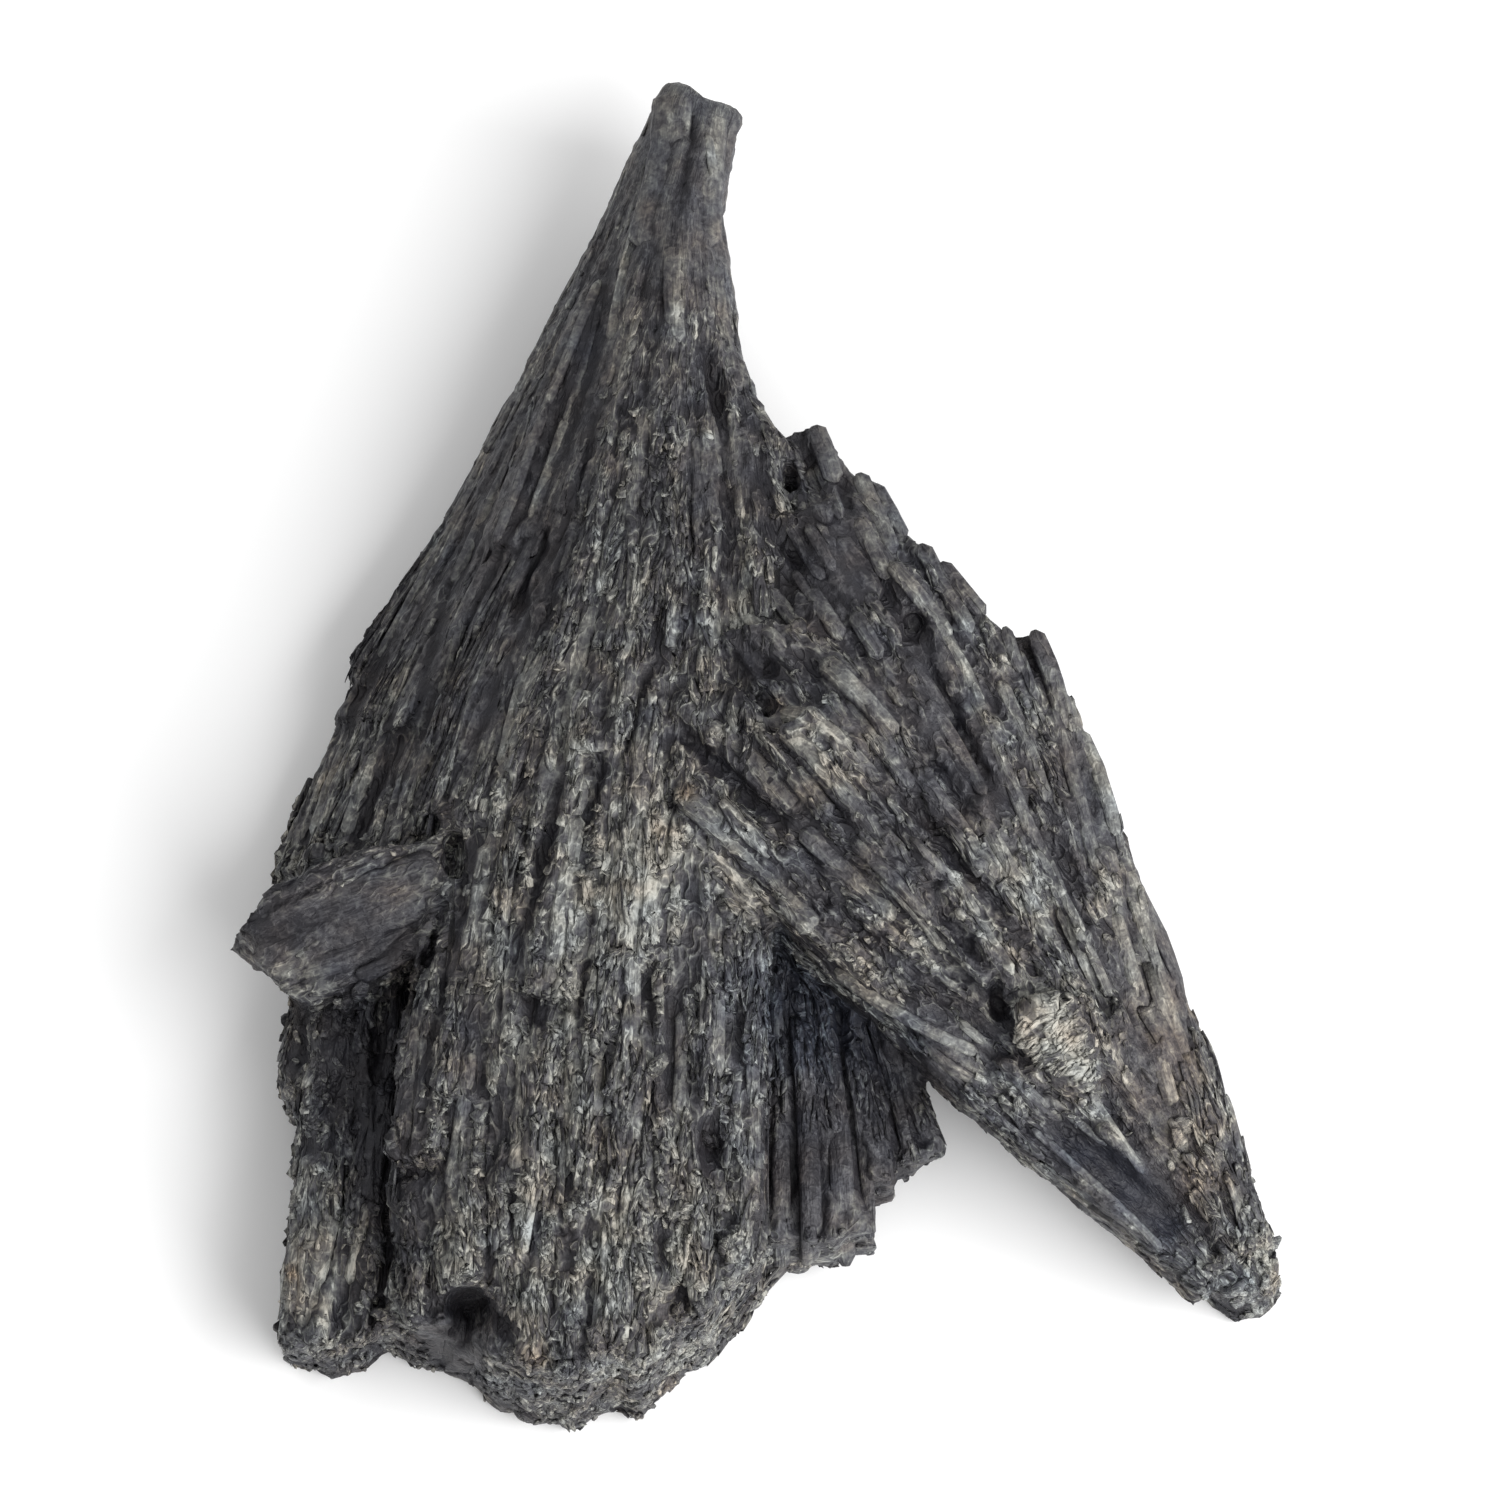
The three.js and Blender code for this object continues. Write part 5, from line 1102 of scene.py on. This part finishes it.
# Single long blades that stand clear of the rest.
MAIN_LONG_BLADES = [
    # handle
    (1.3, 0.1, -0.05, [(-5, 39.6), (-5.2, 36.4), (-5.8, 33.2), (-6.6, 30)]),
    (0.95, 0.1, 0, [(-2.3, 38.4), (-2.6, 36), (-2.8, 33.4), (-2.8, 30.4)]),
    (0.75, 0.06, 0.05, [(-1.5, 38.2), (-2, 36.2), (-2.3, 34.2)]),
    (0.3, 0.22, 0.2, [(-2.9, 37), (-2.6, 35), (-2.3, 33.2)]),
    # upper fan
    (0.5, 0.1, 0, [(-7.3, 30.4), (-8, 27.6), (-8.6, 24.4)]),
    (0.65, 0.08, 0.05, [(-4.9, 30.4), (-4.9, 27), (-4.8, 24.2)]),
    (0.55, 0.08, 0.05, [(-2.5, 29.2), (-2.2, 26.4), (-1.6, 23.6), (-0.9, 21.2)]),
    (0.45, 0.08, 0, [(-1.2, 23.6), (-0.3, 21), (1.2, 18.6)]),
    (0.3, 0.26, 0.3, [
        (-9.3, 28.2), (-10.4, 25.6), (-11.6, 22.6), (-12.9, 19.2), (-14.1, 15.6), (-15.4, 12.4)
    ]),
    (0.4, 0.15, 0, [(-10.6, 25.6), (-12.4, 22), (-14.2, 18.2), (-16.2, 14), (-18, 10)]),
    (0.45, 0.12, -0.1, [(-12.6, 22.6), (-14.8, 18.2), (-17.4, 13.4), (-19.8, 8.6), (-21.2, 5.4)]),
    (0.4, 0.12, -0.1, [(-16.6, 16), (-18.8, 12), (-20.8, 8.4), (-22.6, 5.2)]),
    (0.35, 0.12, 0.05, [(-11.2, 20), (-12.2, 17), (-13.4, 13.6)]),
    (0.4, 0.12, 0.05, [(-15.8, 11.4), (-17, 8.6), (-18, 6), (-18.6, 3.4)]),
    (0.45, 0.15, 0, [(-22.4, 0.2), (-23.4, -2.2), (-24.2, -5)]),
    (0.4, 0.12, -0.05, [(-24.2, 0.6), (-25.3, -2), (-26.2, -5)]),
    (0.5, 0.12, 0, [(-18.6, 1.4), (-19.4, -1), (-20, -3.6)]),
    # middle and lower end
    (0.6, 0.15, 0.05, [(-10.4, -3.4), (-11, -7), (-11.6, -11), (-12, -13.6)]),
    (0.5, 0.12, 0.1, [(-7.2, -10), (-7.1, -14), (-7.2, -17.6)]),
    (0.4, 0.12, 0, [(-4.35, -14.8), (-4.35, -18), (-4.5, -21)]),
    (0.5, 0.12, 0.05, [(-2.4, -9), (-2.2, -14), (-2.2, -18.6)]),
    (0.6, 0.15, 0, [(-15.6, -5), (-16.2, -9), (-16.8, -12.6)]),
    (0.5, 0.15, 0.1, [(-16.6, -17), (-17, -21), (-17.6, -25)]),
    (0.5, 0.12, 0.05, [(-13.2, -16.4), (-13.5, -20.4), (-13.9, -24)]),
    (0.55, 0.15, 0.25, [(-22.6, -26), (-23, -28.4), (-23.6, -31)]),
    (0.6, 0.12, 0, [(-24.6, -26.6), (-25.4, -30), (-26.2, -33.4)]),
    (0.6, 0.12, 0, [(-25.9, -23), (-26.6, -28), (-27, -32.6)]),
    (0.4, 0, -0.3, [(-18.2, -32.4), (-18.6, -35.6)]),
    (0.4, 0, -0.3, [(-17.1, -32.2), (-17.3, -36)]),
    (0.35, 0.05, -0.25, [(-16, -32.8), (-16.2, -36.2)]),
    (0.22, 0.12, -0.2, [(-9.2, 27), (-9.9, 24), (-10.7, 21)]),
    (0.22, 0.1, -0.25, [(-9.6, 25.4), (-10.4, 22.6), (-11.4, 19.4)]),
    (0.4, 0.12, 0.1, [(-9.4, 17.6), (-10.6, 13.6), (-11.6, 10.4)]),
    (0.45, 0.12, 0, [(-6.4, 20.6), (-7, 16.6), (-7.6, 13)]),
    (0.4, 0.1, 0.05, [(-3.6, 19), (-3.4, 15.6), (-3.4, 12.4)]),
    (0.5, 0.14, 0, [(-9.6, 9), (-10.4, 5), (-11, 1.4)]),
    (0.45, 0.12, 0.05, [(-13, 6.4), (-14, 3), (-14.8, -0.6)]),
    (0.45, 0.12, 0.1, [(-6.6, 2), (-6.8, -1.4), (-7, -4.6)]),
    (0.5, 0.14, -0.05, [(-19.6, -15.6), (-20, -19), (-20.4, -22.6)]),
    (0.45, 0.12, 0.1, [(-10.6, -17.6), (-10.8, -21), (-11.2, -24.6)]),
    (0.45, 0.12, 0.05, [(-7.2, -19.6), (-7.2, -23), (-7.4, -26.4)]),
    (0.4, 0.12, 0, [(-0.2, -17), (-0.1, -21), (-0.2, -25)]),
]
long_blades = lay_long_blades("main_fan_long_blades", MAIN_LONG_BLADES, seed=9)
face_weight *= clear_of(MAIN_LONG_BLADES)
main_blades = lay_splinters(
    "main_fan_blades", where=on_main & (face_up < 14), count=560, seed=10,
    length=(4, 14), width=(0.7, 1.8), proud=(0.02, 0.26), **blade,
)
on_top = covered([skin_mesh, main_blades, long_blades])
lay_splinters(
    "handle_splinters", where=on_main & (face_up > HANDLE_FROM), count=330, seed=11, on=on_top,
    length=(1.5, 7), width=(0.25, 0.55), proud=(-0.04, 0.03),
)
left, right = np.interp(face_up, MAIN_UP, MAIN_LEFT), np.interp(face_up, MAIN_UP, MAIN_RIGHT)
on_flank = face_across < left * 0.6 + 0.4 * right
upper = on_main & (face_up <= HANDLE_FROM) & (face_up > UPPER_FROM)
lay_splinters(
    "flank_splinters", where=upper & on_flank, count=1300, seed=14, on=on_top,
    length=(1, 7), width=(0.25, 0.55), proud=(-0.02, 0.08),
)
lay_splinters(
    "upper_fan_splinters", where=upper & ~on_flank, count=1700, seed=12, on=on_top,
    length=(0.5, 2.6), width=(0.25, 0.6), proud=(0, 0.12), stray=0.14, **cup,
)
lay_splinters(
    "lower_fan_splinters", where=on_main & (face_up <= UPPER_FROM), count=4100, seed=13, on=on_top,
    length=(0.5, 2.8), width=(0.28, 0.75), proud=(0.03, 0.2), stray=0.12, **cup,
)

# ---- Splinters of the second fan ----------------------------------------------------------------
# The fan that crosses the first is made of the same splinters. They are rooted towards its blunt
# tip and broken towards the main fan. A short stub of stacked crystals stands on it.

on_stub = (off_stub(face_across, face_up) < 1) & (face_fan == CROSS)
CROSS_LONG_BLADES = [
    # broken upper ends
    (0.66, 0.4, -0.05, [(3.4, 19.4), (4.2, 17.5), (4.7, 15.8)]),
    (0.85, 0.3, -0.1, [(2.9, 16.9), (3.5, 15.4), (4.1, 13.9)]),
    (0.55, 0.3, -0.05, [(6, 16.6), (6.8, 14.7), (7.6, 13), (8, 11.8)]),
    (0.45, 0.2, -0.1, [(7, 16), (7.9, 14.4), (8.7, 12.8)]),
    (0.55, 0.3, -0.05, [(9.6, 12.4), (10.6, 10.5), (11.8, 8.6), (12.6, 7)]),
    (0.5, 0.3, 0.05, [(10.8, 11.3), (12.1, 9.6), (13.5, 8)]),
    (0.5, 0.4, 0.2, [(7.9, 11.2), (9, 9.9), (10.4, 8.2), (11.4, 6.6)]),
    (0.95, 0.3, -0.05, [(4.6, 12.8), (5.9, 10.8), (7.2, 8.8)]),
    (0.5, 0.3, -0.05, [(3.1, 9.8), (4.4, 7.8), (5.2, 6.6)]),
    (0.5, 0.3, 0.05, [(5.9, 13.9), (6.9, 11.9), (7.8, 10.2)]),
    (0.45, 0.25, 0, [(1.9, 13.8), (2.9, 12), (4, 10.2)]),
    (0.4, 0.2, 0.05, [(3, 13.6), (3.8, 12.2), (4.6, 10.8)]),
    (0.45, 0.2, -0.05, [(0.8, 9.8), (1.9, 8.3), (3, 7)]),
    (0.4, 0.2, 0.1, [(-0.8, 8.2), (0.8, 7.2), (2, 6)]),
    (0.4, 0.2, 0, [(6.4, 9.6), (7.4, 8), (8.4, 6.6)]),
    (0.4, 0.25, 0.05, [(3.6, 17.2), (4.4, 15.4), (5, 13.8)]),
    (0.3, 0.25, 0.05, [(2.2, 10.8), (3.2, 9.3), (4.2, 7.8)]),
    (0.5, 0.25, 0.1, [(5.6, 8.4), (6.6, 6.8), (7.4, 5.4)]),
    (0.38, 0.35, 0, [(14.5, 7.5), (15, 6), (15.5, 4.6)]),
    (0.55, 0.4, 0.05, [(16.2, 7.3), (17.1, 5.2), (17.7, 3.2), (18.2, 1.4)]),
    (0.3, 0.15, 0.05, [(15.3, 6.2), (15.9, 4.6), (16.5, 3)]),
    # across the middle
    (0.62, 0.15, 0.12, [(3.7, 5.7), (5.2, 4.4), (6.6, 3), (8.2, 1.1)]),
    (0.4, 0.15, 0.05, [(6.4, 6.1), (7.6, 4.2), (8.8, 2.7)]),
    (0.6, 0.2, -0.2, [(8.7, 5.8), (10.1, 3.8), (11.4, 1.6)]),
    (0.6, 0.15, 0.05, [(1.1, 2.6), (3, 2.3), (4.8, 1), (6.4, -0.8), (8.2, -3)]),
    (0.6, 0.18, 0.08, [(1.4, 1.7), (3.2, 0.2), (4.8, -1.6), (6.2, -3.3), (8.6, -6)]),
    (0.5, 0.25, 0.1, [(5.2, 3.2), (6.6, 1.4), (8, -0.4), (9.2, -2)]),
    (0.7, 0.05, 0, [(2, -0.7), (3, -2), (4.2, -3.6)]),
    (0.75, 0.1, 0.05, [(-3, 1.7), (-1, 0.4), (0.4, -1.1), (2.2, -3.3)]),
    (0.75, 0.16, 0, [(-4.1, -2.4), (-2, -4.3), (0, -6.3), (1.8, -8.3), (3.6, -10.4)]),
    (0.36, 0.14, 0, [(-4.4, -3.9), (-2.3, -5.9), (0, -8.3)]),
    (0.6, 0.25, 0.12, [(2.6, -4.2), (5.2, -6.6), (8.2, -9.7)]),
    (0.4, 0.25, 0.15, [(4.6, -12.4), (7.2, -14.3), (10, -15.9), (13, -17.3)]),
    # along the second fan
    (0.45, 0.2, 0, [(12.4, 4.2), (13.4, 2), (14.4, -0.4), (15.4, -3), (16.2, -5)]),
    (0.5, 0.15, 0.1, [(9.2, -0.6), (10.8, -2.6), (12.4, -4.8), (14, -7.2)]),
    (0.3, 0.3, 0.25, [(9, -4.8), (10.4, -6.2), (11.8, -7.6), (13, -9.4)]),
    (0.45, 0.25, 0.05, [(10, 3.2), (11.2, 1.4), (12.4, -0.6), (13.4, -2.6)]),
    (0.45, 0.25, 0.05, [(14.2, 4.4), (15.2, 2.2), (16.2, -0.4), (17, -3)]),
    (0.4, 0.25, 0.15, [(11, 7.2), (12.2, 5), (13.2, 2.8)]),
    (0.45, 0.2, 0, [(5.6, -4.8), (7.2, -6.4), (8.8, -8), (10.2, -9.6)]),
    (0.4, 0.2, 0.05, [(17.6, -8.8), (18.8, -11.4), (19.9, -13.8), (20.8, -16)]),
    (0.45, 0.2, 0, [(15.8, -4), (17, -6.4), (17.8, -8.4)]),
    (0.45, 0.2, 0.05, [(17.2, 2.8), (18, 0.4), (18.7, -2), (19.3, -4.6), (20, -7)]),
    (0.45, 0.12, -0.05, [(19, 1.4), (19.9, -0.6), (20.5, -2.6), (21.2, -5)]),
    (0.3, 0.25, 0.15, [(16.2, -5.4), (17.2, -7), (18.4, -9.2), (19.6, -11.8), (20.6, -14)]),
    (0.45, 0.15, 0.05, [(13.2, -3.6), (14.4, -5.8), (15.8, -8.4), (17.2, -11)]),
    (0.5, 0.15, 0, [(7.2, -6.8), (8.6, -8.2), (10, -9.8), (11.4, -11.6)]),
    (0.4, 0.12, 0.05, [(12.9, -9.6), (14, -11.2), (15, -12.8)]),
    (0.5, 0.1, 0.05, [(21.6, -6.6), (22.8, -10.6), (24, -14.6), (25.4, -19)]),
    (0.5, 0.1, 0, [(20.8, -9), (21.8, -12.4), (23, -16.4), (24.4, -20.8)]),
    (0.26, 0.12, -0.15, [(19.4, -19.6), (21, -22), (22.6, -24.4)]),
    (0.25, 0.2, 0.2, [(16, -21.6), (18, -23.3), (20, -25.1), (22, -27), (23.8, -28.9)]),
    (0.3, 0.2, 0.3, [(11.7, -15.3), (12.6, -16.1), (13.4, -16.8)]),
    (0.35, 0.15, 0.05, [(14.8, -18.4), (16.4, -20), (18, -21.4)]),
    (0.28, 0.12, 0, [(16.6, -19.6), (18.4, -21), (20.4, -22.6)]),
]
cross_long_blades = lay_long_blades("second_fan_long_blades", CROSS_LONG_BLADES, seed=19)
face_weight *= clear_of(CROSS_LONG_BLADES)
on_cross = (face_fan == CROSS) & ~on_stub
cross_blades = lay_splinters(
    "second_fan_blades", where=on_cross, count=340, seed=20,
    length=(4, 12), width=(0.7, 1.6), proud=(0.02, 0.26), **blade,
)
on_top = covered([skin_mesh, cross_blades, cross_long_blades])
lay_splinters(
    "second_fan_splinters", where=on_cross, count=3500, seed=21, on=on_top,
    length=(0.5, 2.6), width=(0.25, 0.6), proud=(0, 0.13), stray=0.12, **cup,
)
lay_splinters(
    "stub_splinters", where=on_stub, count=420, seed=22, tone=0.14, crosswise=True,
    length=(0.4, 1.5), width=(0.2, 0.36), proud=(0, 0.14), stray=0.2, rough=0.35,
)

# ---- Splinters of the low sheaf and the side splinter -------------------------------------------
# A low sheaf, darker than the fans, fills the corner between them and is painted bluish-black
# with shade where the second fan stands over it; one short bundle sticks out on the left.

LOW_LONG_BLADES = [
    (0.55, 0.1, -0.4, [(1.2, -13), (1.4, -20), (1.5, -25), (1.5, -30.2)]),
    (0.7, 0.2, -0.3, [(2.6, -15), (3, -20), (3.2, -25), (3.3, -30.1)]),
    (0.68, 0.05, -0.4, [(3.8, -13.4), (4.5, -19), (5, -24), (5.3, -29.9)]),
    (0.42, 0.15, -0.35, [(5.4, -17), (6, -20), (6.5, -25), (6.6, -28.3)]),
    (0.55, 0.15, -0.4, [(5.8, -14.8), (7, -20), (7.8, -25.4)]),
    (0.42, 0.2, -0.3, [(6.8, -15.4), (8.2, -20), (9.2, -24.6)]),
    (0.6, 0.15, -0.35, [(7.8, -16.6), (9.2, -20), (10.8, -23.4)]),
]
low_blades = lay_long_blades("low_sheaf_long_blades", LOW_LONG_BLADES, seed=30)
face_weight *= np.where(face_up > -21, 1, clear_of(LOW_LONG_BLADES))
on_top = covered([skin_mesh, low_blades])
lay_splinters(
    "low_sheaf_splinters", where=face_fan == LOW, count=900, seed=31, on=on_top, tone=-0.25,
    length=(0.6, 3), width=(0.25, 0.55), proud=(0.02, 0.14), stray=0.1,
)
SIDE_LONG_BLADES = [
    (2, 0.12, -0.32, [(-18.2, -7), (-20.6, -8), (-23.6, -9.1), (-29.2, -10.9)]),
    (0.85, 0.05, -0.3, [(-20, -10.2), (-23, -11.6), (-27, -13)]),
    (0.5, 0.05, -0.4, [(-19.2, -10.8), (-21.4, -12.1), (-23.8, -13.2)]),
]
lay_long_blades("side_splinter_blades", SIDE_LONG_BLADES, seed=33)
face_weight *= clear_of(SIDE_LONG_BLADES)
lay_splinters(
    "side_splinter_splinters", where=face_fan == SPLINTER, count=260, seed=32,
    length=(0.4, 1.6), width=(0.2, 0.4), proud=(0, 0.08),
)

# ---- Broken ends and crumbs ---------------------------------------------------------------------
# Where blades broke across, their ends are a crust of small blocky crumbs. The same crumbs sit
# where the fans meet and on the rough low layer at the left.

STANDS_UP = 0.7  # past this a face looks up or down, and no crumb stands on end there
ROUGH_PLACES = [(7.6, -11.2, 3.4, 2.9), (-24.8, -18.5, 2.4, 4.6), (29, -30, 1.8, 2.6)]

broken_end = (facing_along >= END_FACING) & (np.abs(skin_outward[:, 2]) < STANDS_UP)
broken_end &= skin_outward @ toward_sight > FACING_SIGHT
on_end = broken_end & (face_up < np.where(face_fan == CROSS, -20, -10))
on_end &= (face_fan != LOW) & (face_fan != SPLINTER)
on_end &= np.hypot((face_across + 17.3) / 2.2, (face_up + 33) / 3) > 1  # clear of the hollow there
low_end = broken_end & (face_fan == LOW) & (face_height > 1)
for name, where, count, size, seed, tone, sunk_in in (
    ("end_lumps", on_end & (face_height > 2), 460, (0.7, 1.5), 40, -0.2, 0.15),
    ("end_crumbs", on_end & (face_height > 1.2), 600, (0.35, 0.75), 41, 0.05, -0.2),
    ("low_sheaf_lumps", low_end, 110, (0.4, 0.8), 45, -0.3, 0.3),
):
    lay_crumbs(name, where, count, size, seed, tone, sunk_in, upright=True)
rough = np.zeros(len(face_up), dtype=bool)
for at_across, at_up, wide, high in ROUGH_PLACES:
    rough |= np.hypot((face_across - at_across) / wide, (face_up - at_up) / high) < 1
rough &= (face_height > CLEAR_OF_TABLE) & (facing_along < END_FACING)
lay_crumbs("rough_crumbs", rough, count=420, size=(0.4, 0.9), seed=42, tone=0.05)
